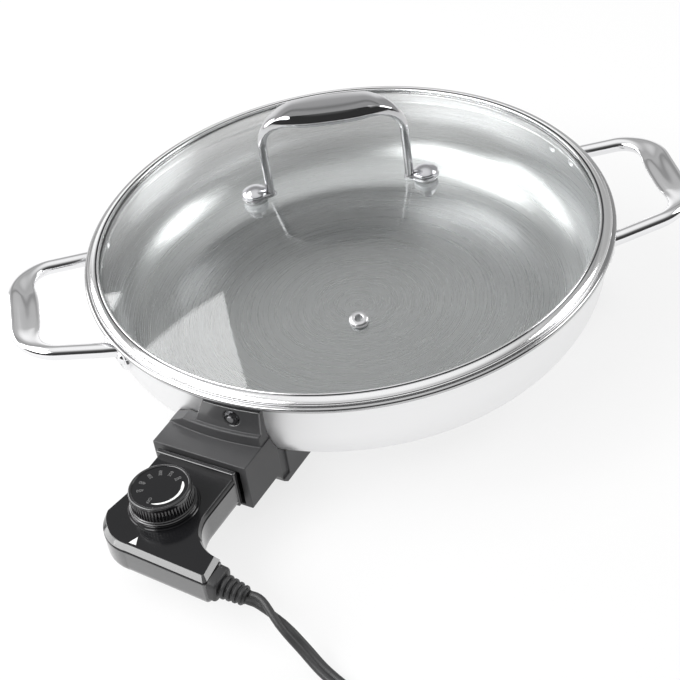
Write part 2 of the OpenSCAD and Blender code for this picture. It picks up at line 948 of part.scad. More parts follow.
cord_u = (cove_u + cove_r + front_at(0)) / 2;
cord_z = control_low + 9;
screw_places = [[shell_u + 10, -15], [shell_u + 10, 15], [control_front - 5.5, arm_end - 13.5]];

module control_screws() {
  color(steel)
    guard_frame()
      for (p = screw_places)
        translate([p[0], p[1], control_low])
          up_screw(control_z - control_low - 6);
}

module contact_sleeves() {
  color([0.78, 0.62, 0.30])
    guard_frame()
      for (side = [-1, 1])
        translate([hood_front - 10.4, side * pin_y, pin_z])
          rotate([0, 90, 0])
            difference() {
              cylinder(r = contact_r, h = contact_end - hood_front + 10.4);
              translate([0, 0, -1])
                cylinder(r = pin_d / 2 + 0.3, h = contact_end - hood_front + 8.4);
            }
}

module probe_tube() {
  color(steel)
    guard_frame()
      translate([socket_u - 6, 0, pin_z])
        rotate([0, 90, 0]) {
          translate([0, 0, 2])
            cylinder(r = probe_d / 2, h = probe_end + 4 - socket_u);
          translate([0, 0, 0.6])
            cylinder(r1 = probe_d / 2 - 1.4, r2 = probe_d / 2, h = 1.4);
        }
}

module thermostat_stack() {
  color([0.86, 0.83, 0.76])
    guard_frame()
      difference() {
        translate([shell_u + 8, -7, control_low + 2])
          cube([12, 14, 12]);
        translate([shell_u + 14, -20, control_low + 10.4])
          cube([10, 40, 0.8]);
        translate([shell_u + 14, -20, control_low + 12.2])
          cube([10, 40, 0.8]);
      }
}

module bimetal_strip() {
  color([0.72, 0.58, 0.40])
    guard_frame()
      translate([shell_u + 14, -4, control_low + 10.4])
        cube([34, 8, 0.8]);
}

module contact_arm() {
  color([0.80, 0.66, 0.36])
    guard_frame()
      union() {
        translate([shell_u + 14, -4, control_low + 12.2])
          cube([34, 8, 0.8]);
        translate([shell_u + 44, 0, control_low + 11.2])
          cylinder(r = 2, h = 1.2);
      }
}

dial_z = control_z + 2;

module dial_knob() {
  color(black)
    guard_frame()
      translate([dial_u, 0, dial_z])
        difference() {
          union() {
            cylinder(r = dial_d / 2 + 1.2, h = 1.2);
            translate([0, 0, 1.2])
              cylinder(r = dial_d / 2 + 0.5, h = 0.9);
            translate([0, 0, 2.1])
              linear_extrude(height = dial_h - 3.6)
                polygon([for (i = [0:dial_ribs - 1]) each let (a = 360 / dial_ribs, r = dial_d / 2)
                  [(r - 0.5) * [cos(a * i), sin(a * i)],
                   (r - 0.5) * [cos(a * (i + 0.35)), sin(a * (i + 0.35))],
                   (r + 0.2) * [cos(a * (i + 0.5)), sin(a * (i + 0.5))],
                   (r + 0.2) * [cos(a * (i + 0.85)), sin(a * (i + 0.85))]]]);
            translate([0, 0, dial_h - 1.5])
              cylinder(r1 = dial_d / 2, r2 = dial_d / 2 - 0.8, h = 1.5);
          }
          translate([0, 0, dial_h - 0.5])
            cylinder(r = dial_d / 2 - 1.8, h = 2);
          translate([0, 0, -1])
            cylinder(r = 3, h = dial_h - 1.5);
        }
}

module dial_spindle() {
  color(steel)
    guard_frame()
      translate([dial_u, 0, 0]) {
        translate([0, 0, control_low + 13.4])
          cylinder(r = 3, h = dial_z + dial_h - 2.5 - control_low - 13.4);
        translate([0, 0, control_z - 4.2])
          cylinder(r = 5, h = 1.6);
      }
}

// the ribbed sleeve, its axis along z
module sleeve_body() {
  rotate_extrude()
    polygon([[0, 0], [6.6, 0], [6.6, 3.4], [5.2, 4.2], [5.2, 5.6], [5.9, 5.9], [5.9, 7.9],
      [4.9, 8.2], [4.9, 9.6], [5.5, 9.9], [5.5, 11.9], [4.6, 12.2], [4.6, 13.6], [5.1, 13.9],
      [5.1, 15.9], [4.3, 16.2], [4.2, sleeve_l], [0, sleeve_l]]);
}

module strain_relief() {
  color(rubber)
    guard_frame()
      difference() {
        translate([cord_u, arm_end, cord_z])
          rotate([-90 - sleeve_tilt, 0, 0])
            translate([0, 0, -1.4])
              sleeve_body();
        translate([cord_u - 20, arm_end - 20, cord_z - 20])
          cube([40, 20, 40]);
      }
}

// the cord's way from the sleeve to the coil, in the guard's directions
sleeve_dir = [0, cos(sleeve_tilt), -sin(sleeve_tilt)];
sleeve_end = [cord_u, arm_end, cord_z] + (sleeve_l - 1.4) * sleeve_dir;
coil_c = [318, 165];
coil_a = 162;
tie_t = 0.5;
coil_z = cord_t / 2 + tie_t + 0.2;
coil_dir = [sin(coil_a), -cos(coil_a), 0];
coil_start = [coil_c[0] + coil_r * cos(coil_a), coil_c[1] + coil_r * sin(coil_a), coil_z];
route = [sleeve_end, sleeve_end + 8 * sleeve_dir, [246, 92, 18.5], [249, 104, 11], [253, 116, 5.4],
  [257, 130, 2.8], [262, 148, coil_z], coil_start - 16 * coil_dir, coil_start - 8 * coil_dir, coil_start];

// a smooth line through the route's points
function mid_point(p0, p1, p2, p3, t) = 0.5 * (2 * p1 + (p2 - p0) * t
  + (2 * p0 - 5 * p1 + 4 * p2 - p3) * t * t + (3 * p1 - p0 - 3 * p2 + p3) * t * t * t);
function smooth(r, k) = [for (i = [0:len(r) - 2])
  let (before = i > 0 ? r[i - 1] : 2 * r[0] - r[1], after = i < len(r) - 2 ? r[i + 2] : 2 * r[i + 1] - r[i])
    each [for (j = [0:k - 1]) mid_point(before, r[i], r[i + 1], after, j / k)], r[len(r) - 1]];
function way(l, i) = unit(l[min(i + 1, len(l) - 1)] - l[max(i - 1, 0)]);
function flat_ring(p, t, n) = let (side = unit(cross([0, 0, 1], t)), up = cross(t, side))
  oval(p, side, up, cord_w / 2, cord_t / 2, n);

cord_line = smooth(route, 3);
function cord_way(i) = i == 0 ? sleeve_dir : i == len(cord_line) - 1 ? coil_dir : way(cord_line, i);

module cord() {
  color(black)
    guard_frame()
      skin([for (i = [0:len(cord_line) - 1]) flat_ring(cord_line[i], cord_way(i), 10)]);
}

// the coil: in along the table, up a layer in its last half turn, out again on top
coil_min = coil_r - coil_pitch * coil_in;
coil_all = coil_in + coil_out;
function coil_radius(s) = s < coil_in ? coil_r - coil_pitch * s : coil_min + coil_pitch * (s - coil_in);
function coil_point(s) = let (a = coil_a - 360 * s, r = coil_radius(s))
  [coil_c[0] + r * cos(a), coil_c[1] + r * sin(a), coil_z + coil_step * ease(1 + (s - coil_in) / coil_climb)];
coil_n = round(coil_all * 24);
coil_turns = [for (i = [0:coil_n]) coil_point(coil_all * i / coil_n)];
tail_a = coil_a - 360 * coil_all;
tail_dir = [sin(tail_a), -cos(tail_a), 0];
coil_line = concat(coil_turns, [for (k = [1:3]) coil_turns[coil_n] + tail_dir * coil_tail * k / 3]);
function coil_way(i) = i == 0 ? coil_dir : i > coil_n ? tail_dir : way(coil_line, i);
plug_at = coil_line[len(coil_line) - 1];

// least gap between parts of the coil more than half a turn apart
coil_gap = min([for (i = [0:len(coil_line) - 1]) for (j = [0:len(coil_line) - 1]) if (j > i + 12)
  let (d = coil_line[j] - coil_line[i], h = norm([d[0], d[1]]), v = abs(d[2])) max(h - cord_w, v - cord_t)]);
cord_length = sleeve_l + sum_of([for (i = [1:len(cord_line) - 1]) norm(cord_line[i] - cord_line[i - 1])])
  + sum_of([for (i = [1:len(coil_line) - 1]) norm(coil_line[i] - coil_line[i - 1])]);
function sum_of(v, i = 0) = i >= len(v) ? 0 : v[i] + sum_of(v, i + 1);
echo(coil_gap = coil_gap, cord_length = cord_length);

module cord_coil() {
  color(black)
    guard_frame()
      skin([for (i = [0:len(coil_line) - 1]) flat_ring(coil_line[i], coil_way(i), 6)]);
}

tie_s = 0.60;

module coil_tie() {
  a = coil_a - 360 * tie_s;
  low_r = coil_radius(tie_s + 1) - cord_w / 2 - 1;
  high_r = coil_radius(tie_s) + cord_w / 2 + 0.4;
  color(rubber)
    guard_frame()
      translate([coil_c[0], coil_c[1], 0])
        rotate([0, 0, a])
          difference() {
            translate([low_r - 0.8, -4, 0])
              cube([high_r - low_r + 1.6, 8, coil_z + coil_step + cord_t / 2 + 1]);
            translate([low_r, -5, tie_t])
              cube([high_r - low_r, 10, coil_z + coil_step + cord_t / 2 + 0.3 - tie_t]);
          }
}

module plug_frame() {
  guard_frame()
    translate([plug_at[0], plug_at[1], 0])
      rotate([0, 0, atan2(tail_dir[1], tail_dir[0])])
        children();
}

plug_h = 2 * (coil_z + coil_step);

module plug_body() {
  color(black)
    plug_frame()
      translate([0, 0, plug_h / 2])
        rotate([0, 90, 0])
          difference() {
            union() {
              cylinder(r1 = 5, r2 = 6.4, h = 8);
              translate([-plug_h / 2, -9, 8])
                cube([plug_h, 18, 14]);
              translate([-plug_h / 2, -12, 22])
                cube([plug_h, 24, 10]);
            }
            for (side = [-1, 1])
              translate([-4.5, side * 6.35 - 0.75, 24])
                cube([9, 1.5, 10]);
          }
}

module plug_blades() {
  color([0.82, 0.72, 0.45])
    plug_frame()
      for (side = [-1, 1])
        translate([24, side * 6.35 - 0.75, plug_h / 2 - 3.2])
          difference() {
            cube([25, 1.5, 6.4]);
            translate([21, -1, 3.2])
              rotate([-90, 0, 0])
                cylinder(r = 1.6, h = 4);
          }
}

pan_body();
heat_plate();
heating_element();
element_pins();
terminal_bushings();
probe_well();
socket_plate();
probe_guard();
guard_stud();
guard_nut();
guard_screws();
rear_legs();
leg_screws();
foot_pads();
handle_left();
handle_right();
handle_rivets();
lid_glass();
lid_band();
lid_handle();
lid_bolts();
lid_washers();
lid_seals();
lid_nuts();
steam_vent();
control_nose();
control_top();
control_bottom();
control_screws();
contact_sleeves();
probe_tube();
thermostat_stack();
bimetal_strip();
contact_arm();
dial_knob();
dial_spindle();
strain_relief();
cord();
cord_coil();
coil_tie();
plug_body();
plug_blades();
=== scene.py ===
# %% [markdown]
# # A round electric skillet with a glass lid and a plug-in control
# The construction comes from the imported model, which fixes every size and place.
# This lesson gives each piece its finish, and remakes the pieces whose polish needs a finer mesh.

# %% Load the construction
import json
import math

import bmesh
import bpy
from mathutils import Matrix, Vector

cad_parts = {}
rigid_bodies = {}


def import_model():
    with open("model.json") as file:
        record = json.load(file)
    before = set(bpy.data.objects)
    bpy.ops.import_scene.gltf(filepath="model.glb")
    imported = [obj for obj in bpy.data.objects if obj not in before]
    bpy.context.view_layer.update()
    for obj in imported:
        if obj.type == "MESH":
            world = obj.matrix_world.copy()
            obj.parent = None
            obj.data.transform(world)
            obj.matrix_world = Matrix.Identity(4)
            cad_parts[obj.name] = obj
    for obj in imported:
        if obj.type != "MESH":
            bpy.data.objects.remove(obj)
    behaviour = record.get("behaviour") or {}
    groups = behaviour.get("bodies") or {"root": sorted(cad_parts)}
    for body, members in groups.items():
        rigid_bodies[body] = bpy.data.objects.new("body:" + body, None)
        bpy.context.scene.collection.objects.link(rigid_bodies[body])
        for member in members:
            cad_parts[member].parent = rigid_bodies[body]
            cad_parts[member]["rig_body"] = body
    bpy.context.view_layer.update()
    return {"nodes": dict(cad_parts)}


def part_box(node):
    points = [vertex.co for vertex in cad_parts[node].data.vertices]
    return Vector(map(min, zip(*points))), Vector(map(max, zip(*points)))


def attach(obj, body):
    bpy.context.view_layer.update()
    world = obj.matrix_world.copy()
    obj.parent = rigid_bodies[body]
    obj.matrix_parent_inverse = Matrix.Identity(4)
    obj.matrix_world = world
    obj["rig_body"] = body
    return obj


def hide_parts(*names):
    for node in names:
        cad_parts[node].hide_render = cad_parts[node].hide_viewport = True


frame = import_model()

nodes = frame["nodes"]
print("nodes in the construction:", len(nodes))

# %% [markdown]
# ## Directions and small helpers
# Sizes are written in millimetres, as on a drawing, and turned to metres when a mesh is made.
# The control and its guard leave the pan at 230 degrees, so their pieces are drawn in that
# direction, with u outwards, v to the right and z up, and then turned into place.

# %% Units, directions and sizes that several pieces share
MM = 0.001
GUARD_TURN = math.radians(230)
LID_TURN = math.radians(-8.6)

pan_low, pan_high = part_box("pan_body")
rim_r = pan_high.x / MM
rim_z = pan_high.z / MM
floor_z = pan_low.z / MM
wall_r = rim_r - 5.8
sheet = 1.2


def turned(points, angle):
    """Points turned about the pan's axis."""
    c, s = math.cos(angle), math.sin(angle)
    return [(x * c - y * s, x * s + y * c, z) for x, y, z in points]


def ease(t):
    """A smooth step from 0 to 1."""
    t = min(1, max(0, t))
    return t * t * (3 - 2 * t)


def arc(cx, cz, r, start, end, steps):
    """Points on a round stretch of an outline, with angles in degrees."""
    angles = [math.radians(start + (end - start) * k / steps) for k in range(steps + 1)]
    return [(cx + r * math.cos(a), cz + r * math.sin(a)) for a in angles]


print(f"rim radius {rim_r:.1f} mm, rim height {rim_z:.1f} mm")

# %% [markdown]
# Most pieces are turned forms, or skins over a row of rings, so two helpers make the points and
# faces of these. Blender's own Spin and Skin tools could do it, but a plain list of points keeps
# every size where it can be read. A last helper makes an object of a mesh and gives it its body.

# %% Mesh helpers


def lathe(profile, steps=192):
    """Points and faces of an outline [r, z] turned about the z axis, and each face's outline step."""
    points, rings = [], []
    for r, z in profile:
        if r < 1e-6:
            rings.append([len(points)] * steps)
            points.append((0, 0, z))
        else:
            rings.append(list(range(len(points), len(points) + steps)))
            angles = [2 * math.pi * i / steps for i in range(steps)]
            points += [(r * math.cos(a), r * math.sin(a), z) for a in angles]
    faces, strips = [], []
    for k, (low, high) in enumerate(zip(rings, rings[1:] + rings[:1])):
        for i in range(steps):
            j = (i + 1) % steps
            face = list(dict.fromkeys((low[i], low[j], high[j], high[i])))
            if len(face) > 2:
                faces.append(face)
                strips.append(k)
    return points, faces, strips


def loft(rings):
    """Points and faces of a closed skin over a row of rings."""
    n, m = len(rings[0]), len(rings)
    points = [p for ring in rings for p in ring]
    faces = [
        (j * n + i, j * n + (i + 1) % n, (j + 1) * n + (i + 1) % n, (j + 1) * n + i)
        for j in range(m - 1)
        for i in range(n)
    ]
    faces.append(tuple(range(n - 1, -1, -1)))
    faces.append(tuple(range((m - 1) * n, m * n)))
    return points, faces


def join_shells(*shells):
    """One list of points and faces from several closed shells."""
    points, faces = [], []
    for more_points, more_faces in shells:
        start = len(points)
        points += more_points
        faces += [[start + i for i in face] for face in more_faces]
    return points, faces


def mesh_of(name, points, faces, place=None):
    """A mesh from millimetre points, with outward faces."""
    mesh = bpy.data.meshes.new(name)
    mesh.from_pydata([tuple(c * MM for c in p) for p in points], [], faces)
    if place:
        mesh.transform(place)
    bm = bmesh.new()
    bm.from_mesh(mesh)
    bmesh.ops.recalc_face_normals(bm, faces=bm.faces)
    bm.to_mesh(mesh)
    bm.free()
    return mesh


def add_piece(name, mesh, body, materials, replaces=(), sharp=35):
    """A finished piece that rides on a body and stands for the nodes that it replaces."""
    obj = bpy.data.objects.new(name, mesh)
    bpy.context.scene.collection.objects.link(obj)
    mesh.materials.clear()
    for material in materials:
        mesh.materials.append(material)
    mesh.shade_smooth()
    mesh.set_sharp_from_angle(angle=math.radians(sharp))
    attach(obj, body)
    if replaces:
        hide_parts(*replaces)
    print(f"{name}: {len(mesh.polygons)} faces on {body}")
    return obj


# %% [markdown]
# The sky, the finishes and the trees for what repeats are all made of nodes. One helper makes a
# node, sets its options, and gives each input a plain value or a link from another node. The same
# could be written line by line, but then the wiring hides what each node is for.

# %% Node helper


def add_node(tree, kind, inputs=None, **options):
    """A node with its options set, and each input given a value or a link."""
    node = tree.nodes.new(kind)
    for option, value in options.items():
        setattr(node, option, value)
    for socket, value in (inputs or {}).items():
        if isinstance(value, bpy.types.NodeSocket):
            tree.links.new(value, node.inputs[socket])
        else:
            node.inputs[socket].default_value = value
    return node


# %% [markdown]
# ## Camera
# The photograph was taken from above and in front with a long lens, and the picture is turned a
# little. The camera is placed by its position and its right and up directions.

# %% Camera
camera_at = Vector((-0.0888, -0.8189, 0.6666))
camera_right = Vector((0.97392, -0.19036, -0.12348))
camera_up = Vector((0.21599, 0.61104, 0.76157))
camera_back = camera_right.cross(camera_up)

camera_data = bpy.data.cameras.new("photo_camera")
camera_data.sensor_width = 36
camera_data.lens = 90
camera_data.clip_start = 0.01
camera = bpy.data.objects.new("photo_camera", camera_data)
camera.matrix_world = Matrix((
    (camera_right.x, camera_up.x, camera_back.x, camera_at.x),
    (camera_right.y, camera_up.y, camera_back.y, camera_at.y),
    (camera_right.z, camera_up.z, camera_back.z, camera_at.z),
    (0, 0, 0, 1),
))
bpy.context.scene.collection.objects.link(camera)
bpy.context.scene.camera = camera
print("camera at", [round(c, 3) for c in camera_at])

# %% [markdown]
# ## Floor and light
# Polished steel shows what stands round it. The floor, the horizon behind and the ceiling are bright,
# the sky between them and to the sides is grey, and low in front it is dark, which draws the dark
# lines along the rods. A softbox overhead lies as a pale patch on the glass. Softboxes on both sides
# light the chamfered edge of the plug-in control.

# %% Floor
floor_half = 12.0
floor_corners = [(x * floor_half, y * floor_half, 0) for x, y in ((-1, -1), (1, -1), (1, 1), (-1, 1))]
floor_mesh = bpy.data.meshes.new("floor")
floor_mesh.from_pydata(floor_corners, [], [(0, 1, 2, 3)])
floor = bpy.data.objects.new("floor", floor_mesh)
bpy.context.scene.collection.objects.link(floor)
floor_paper = bpy.data.materials.new("floor_paper")
floor_paper.use_nodes = True
paper = floor_paper.node_tree.nodes["Principled BSDF"].inputs
paper["Base Color"].default_value = (0.16, 0.16, 0.16, 1)
paper["Roughness"].default_value = 0.9
paper["Emission Color"].default_value = (1, 1, 1, 1)
paper["Emission Strength"].default_value = 0.78
floor_mesh.materials.append(floor_paper)
print("floor", 2 * floor_half, "m wide")

# %% [markdown]
# The sky is three ramps from the horizon to straight up: behind the skillet, beside it and in front
# of it. How far a direction leans aside and ahead chooses between them. A photograph of a studio
# could light the scene too, but ramps are easy to tune to one dark line.

# %% Sky
world = bpy.data.worlds.new("studio")
bpy.context.scene.world = world
world.use_nodes = True
sky = world.node_tree
direction = add_node(sky, "ShaderNodeTexCoord").outputs["Generated"]
split = add_node(sky, "ShaderNodeSeparateXYZ", {0: direction}).outputs


def sky_ramp(bands):
    """Tones of the sky from the horizon at 0 to straight up at 1."""
    ramp = add_node(sky, "ShaderNodeValToRGB", {0: split["Z"]})
    while len(ramp.color_ramp.elements) < len(bands):
        ramp.color_ramp.elements.new(0.5)
    for element, (height, tone) in zip(ramp.color_ramp.elements, bands):
        element.position = height
        element.color = (tone, tone, tone, 1)
    return ramp.outputs[0]


def sky_blend(value, start, end, first, second):
    """The first tone where the value is at its start, and the second where it is at its end."""
    share = add_node(sky, "ShaderNodeMapRange", {"Value": value, "From Min": start, "From Max": end},
                     interpolation_type="SMOOTHSTEP").outputs["Result"]
    return add_node(sky, "ShaderNodeMix", {"Factor": share, "A": first, "B": second},
                    data_type="RGBA").outputs["Result"]


upper_sky = [(0.57, 0.50), (0.625, 0.27), (0.68, 0.48), (0.78, 0.44), (0.92, 0.95), (1.0, 1.05)]
sky_behind = sky_ramp([(0.0, 1.2), (0.30, 1.05), (0.46, 0.54)] + upper_sky)
sky_beside = sky_ramp([(0.0, 0.45), (0.40, 0.45)] + upper_sky)
sky_ahead = sky_ramp([(0.0, 0.05), (0.5, 0.05), (0.70, 0.20), (0.85, 0.75), (0.94, 1.0), (1.0, 1.05)])
aside = add_node(sky, "ShaderNodeMath", {0: split["X"]}, operation="ABSOLUTE").outputs[0]
ahead = add_node(sky, "ShaderNodeMath", {0: aside, 1: -0.25, 2: split["Y"]}, operation="MULTIPLY_ADD").outputs[0]
sky_around = sky_blend(aside, 0.38, 0.58, sky_behind, sky_beside)
sky_tone = sky_blend(ahead, -0.15, -0.5, sky_around, sky_ahead)
sky.links.new(sky_tone, sky.nodes["Background"].inputs["Color"])
print("sky nodes:", len(sky.nodes))

# %% Softboxes


def softbox(name, at, aim, size, radiance):
    """A rectangular light of a given brightness."""
    data = bpy.data.lights.new(name, "AREA")
    data.shape = "RECTANGLE"
    data.size, data.size_y = size
    data.energy = radiance * math.pi * size[0] * size[1]
    light = bpy.data.objects.new(name, data)
    light.location = at
    light.rotation_euler = (Vector(aim) - Vector(at)).to_track_quat("-Z", "Y").to_euler()
    bpy.context.scene.collection.objects.link(light)
    print(f"{name}: {data.energy:.1f} W")


softbox("glass_softbox", (-1.0, 0.42, 1.3), (-1.0, 0.42, 0), (0.9, 0.85), 3.6)
softbox("left_softbox", (-1.01, -0.36, 0.92), (-0.15, -0.18, 0.04), (1.1, 0.6), 6.0)
softbox("left_back_softbox", (-1.25, 0.55, 0.50), (-0.15, -0.1, 0.04), (1.3, 0.6), 4.0)
softbox("right_softbox", (0.91, -0.09, 0.63), (-0.12, -0.24, 0.04), (0.55, 0.45), 4.5)
bpy.context.scene.view_settings.view_transform = "Standard"

# %% [markdown]
# ## Finishes
# Each finish is a Principled shader. What several finishes share is a node group: a grain that runs
# round the pan's axis, a straight grain, and a soft mottling for handled surfaces.

# %% Shader groups


def shader_group(name, inputs, outputs):
    """An empty shader group with named sockets, what it is given and what it puts out."""
    group = bpy.data.node_groups.new(name, "ShaderNodeTree")
    for label, kind, value in [("Vector", "Vector", None), *inputs]:
        socket = group.interface.new_socket(label, in_out="INPUT", socket_type="NodeSocket" + kind)
        if value is not None:
            socket.default_value = value
    for label in outputs:
        group.interface.new_socket(label, in_out="OUTPUT", socket_type="NodeSocketFloat")
    return group, group.nodes.new("NodeGroupInput").outputs, group.nodes.new("NodeGroupOutput").inputs


def round_grain_group():
    """Fine lines that run round the pan's axis on floors and walls alike."""
    group, given, result = shader_group(
        "round_grain", [("Lines", "Float", 2500.0), ("Length", "Float", 1.2)], ["Grain"])
    parts = add_node(group, "ShaderNodeSeparateXYZ", {0: given["Vector"]}).outputs
    flat = add_node(group, "ShaderNodeCombineXYZ", {"X": parts["X"], "Y": parts["Y"]}).outputs[0]
    reach = add_node(group, "ShaderNodeVectorMath", {0: flat}, operation="LENGTH").outputs["Value"]
    way = add_node(group, "ShaderNodeVectorMath", {0: flat}, operation="NORMALIZE").outputs[0]
    spread = add_node(group, "ShaderNodeVectorMath", {0: way, "Scale": given["Length"]}, operation="SCALE").outputs[0]
    both = add_node(group, "ShaderNodeMath", {0: reach, 1: parts["Z"]}, operation="ADD").outputs[0]
    count = add_node(group, "ShaderNodeMath", {0: both, 1: given["Lines"]}, operation="MULTIPLY").outputs[0]
    line = add_node(group, "ShaderNodeCombineXYZ", {"Z": count}).outputs[0]
    place = add_node(group, "ShaderNodeVectorMath", {0: spread, 1: line}, operation="ADD").outputs[0]
    noise = add_node(group, "ShaderNodeTexNoise", {"Vector": place, "Scale": 1.0, "Detail": 3.0})
    group.links.new(noise.outputs["Fac"], result["Grain"])
    return group


def straight_grain_group():
    """Noise stretched by a scale of its own in each direction."""
    group, given, result = shader_group("straight_grain", [("Stretch", "Vector", (40, 1500, 1500))], ["Grain"])
    scale = add_node(group, "ShaderNodeVectorMath", {0: given["Vector"], 1: given["Stretch"]}, operation="MULTIPLY")
    noise = add_node(group, "ShaderNodeTexNoise", {"Vector": scale.outputs[0], "Scale": 1.0, "Detail": 4.0})
    group.links.new(noise.outputs["Fac"], result["Grain"])
    return group


def mottling_group():
    """Broad soft patches, such as wiped finger marks, and a fine speckle."""
    group, given, result = shader_group(
        "mottling", [("Patch Scale", "Float", 35.0), ("Speckle Scale", "Float", 2200.0)], ["Patches", "Speckle"])
    for label, source in (("Patches", "Patch Scale"), ("Speckle", "Speckle Scale")):
        noise = add_node(group, "ShaderNodeTexNoise",
                         {"Vector": given["Vector"], "Scale": given[source], "Detail": 3.0})
        group.links.new(noise.outputs["Fac"], result[label])
    return group


ROUND_GRAIN = round_grain_group()
STRAIGHT_GRAIN = straight_grain_group()
MOTTLING = mottling_group()
print("shader groups:", ROUND_GRAIN.name, STRAIGHT_GRAIN.name, MOTTLING.name)

# %% [markdown]
# A finish maker sets the plain values on the Principled shader itself, and lets a group's mask vary
# the colour and roughness a little and raise a fine bump. A spun steel, a drawn metal and a wiped
# surface each name the group that they use.

# %% Finish makers


def finish(name, tone, rough, group, masks, settings, metallic=0.0, vary=0.06, bump=0.02, bump_mm=0.02, **plain):
    """A material whose colour, roughness and bump follow a group's masks."""
    material = bpy.data.materials.new(name)
    material.use_nodes = True
    tree = material.node_tree
    shader = tree.nodes["Principled BSDF"].inputs
    shader["Metallic"].default_value = metallic
    for label, value in plain.items():
        shader[label.replace("_", " ")].default_value = value
    place = add_node(tree, "ShaderNodeTexCoord").outputs["Object"]
    effect = add_node(tree, "ShaderNodeGroup", {"Vector": place, **settings}, node_tree=group).outputs
    mask, height = effect[masks[0]], effect[masks[-1]]
    dark = (*[c * (1 - vary) for c in tone], 1)
    light = (*[min(1, c * (1 + vary)) for c in tone], 1)
    colour = add_node(tree, "ShaderNodeMix", {"Factor": mask, "A": dark, "B": light}, data_type="RGBA")
    gloss = add_node(tree, "ShaderNodeMapRange", {"Value": mask, "To Min": rough[0], "To Max": rough[1]})
    raised = add_node(tree, "ShaderNodeBump", {"Height": height, "Strength": bump, "Distance": bump_mm * MM})
    tree.links.new(colour.outputs["Result"], shader["Base Color"])
    tree.links.new(gloss.outputs["Result"], shader["Roughness"])
    tree.links.new(raised.outputs["Normal"], shader["Normal"])
    return material


def spun_steel(name, tone, rough, lines, length, **more):
    """Steel with a fine grain round the pan's axis."""
    return finish(name, tone, rough, ROUND_GRAIN, ("Grain",), {"Lines": lines, "Length": length}, metallic=1, **more)


def drawn_metal(name, tone, rough, stretch, bump):
    """Metal with a straight grain."""
    return finish(name, tone, rough, STRAIGHT_GRAIN, ("Grain",), {"Stretch": stretch}, metallic=1, bump=bump)


def wiped(name, tone, rough, patches, speckle, **more):
    """A handled surface, with soft patches and a fine speckle."""
    return finish(name, tone, rough, MOTTLING, ("Patches", "Speckle"),
                  {"Patch Scale": patches, "Speckle Scale": speckle}, **more)


# %% [markdown]
# The pan, the lid's band and the handles are one stainless steel, but each is polished to its own
# degree. Where a copy of it has a lower tone, that is painted reflection: the rim, the lid's skirt,
# the arch and the nearly black steel are coloured darker to stand for the darker things they reflect.

# %% Metals
# Steel painted darker as a painted reflection, for the pan's rolled rim and the lid's skirt.
POLISHED_STEEL_PAINTED_DARK = spun_steel("polished_steel", (0.50, 0.50, 0.505), (0.10, 0.16), 2600, 1.5, vary=0.02, bump=0.03)
SATIN_WALL = spun_steel("satin_wall", (0.87, 0.87, 0.875), (0.32, 0.40), 2600, 1.5, vary=0.01, bump=0.02)
BRUSHED_BOWL = spun_steel("brushed_bowl", (0.52, 0.52, 0.525), (0.24, 0.32), 2200, 0.7, vary=0.012, bump=0.02)
LID_STEEL = spun_steel("lid_band_steel", (0.86, 0.86, 0.865), (0.09, 0.15), 3000, 1.2, vary=0.02, bump=0.03)
hand_polish = {"metallic": 1, "vary": 0.02, "bump": 0.01}
CHROME = wiped("handle_steel", (0.86, 0.86, 0.87), (0.05, 0.11), 60, 1800, **hand_polish)
# The arch is the side handles' steel painted darker, a painted reflection.
ARCH_STEEL_PAINTED_DARK = wiped("arch_steel_painted_dark", (0.56, 0.56, 0.57), (0.05, 0.11), 60, 1800, **hand_polish)
BOLT_STEEL = wiped("bolt_steel", (0.60, 0.60, 0.62), (0.14, 0.22), 60, 1800, **hand_polish)
# Steel painted nearly black as painted shade, for the dark gap strips of the lid band and the guard's nut.
STEEL_PAINTED_SHADE = wiped("steel_painted_shade", (0.10, 0.10, 0.105), (0.12, 0.20), 90, 2000, metallic=1, vary=0.1, bump=0.03)
SATIN_STEEL = drawn_metal("satin_steel", (0.62, 0.62, 0.63), (0.24, 0.36), (2500, 300, 2500), 0.06)
BRASS = drawn_metal("contact_brass", (0.72, 0.53, 0.24), (0.22, 0.34), (2000, 400, 2000), 0.05)
CAST_METAL = wiped("cast_aluminium", (0.55, 0.55, 0.56), (0.42, 0.58), 50, 1400,
                   metallic=1, vary=0.10, bump=0.25, bump_mm=0.05)
DARK_SHEATH = wiped("element_sheath", (0.13, 0.12, 0.11), (0.40, 0.60), 120, 2600,
                    metallic=0.8, vary=0.25, bump=0.2)
print("materials with the metals:", len(bpy.data.materials))

# %% [markdown]
# The plastics are all near black and differ in gloss. The control's glossy shells have a clear coat,
# and the lower shell is painted a lighter black than the cover as a painted sheen. The guard is matt,
# and the cord and its sleeve are rubber.

# %% Plastics, rubber, ceramic and print
GLOSS_BLACK = wiped("gloss_black", (0.010, 0.010, 0.011), (0.10, 0.17), 45, 2600, vary=0.15, bump=0.01,
                    Specular_IOR_Level=0.7, Coat_Weight=0.6, Coat_Roughness=0.06)
COVER_BLACK = wiped("cover_black", (0.008, 0.008, 0.009), (0.12, 0.20), 45, 2600, vary=0.15, bump=0.01,
                    Specular_IOR_Level=0.4, Coat_Weight=0.12, Coat_Roughness=0.06)
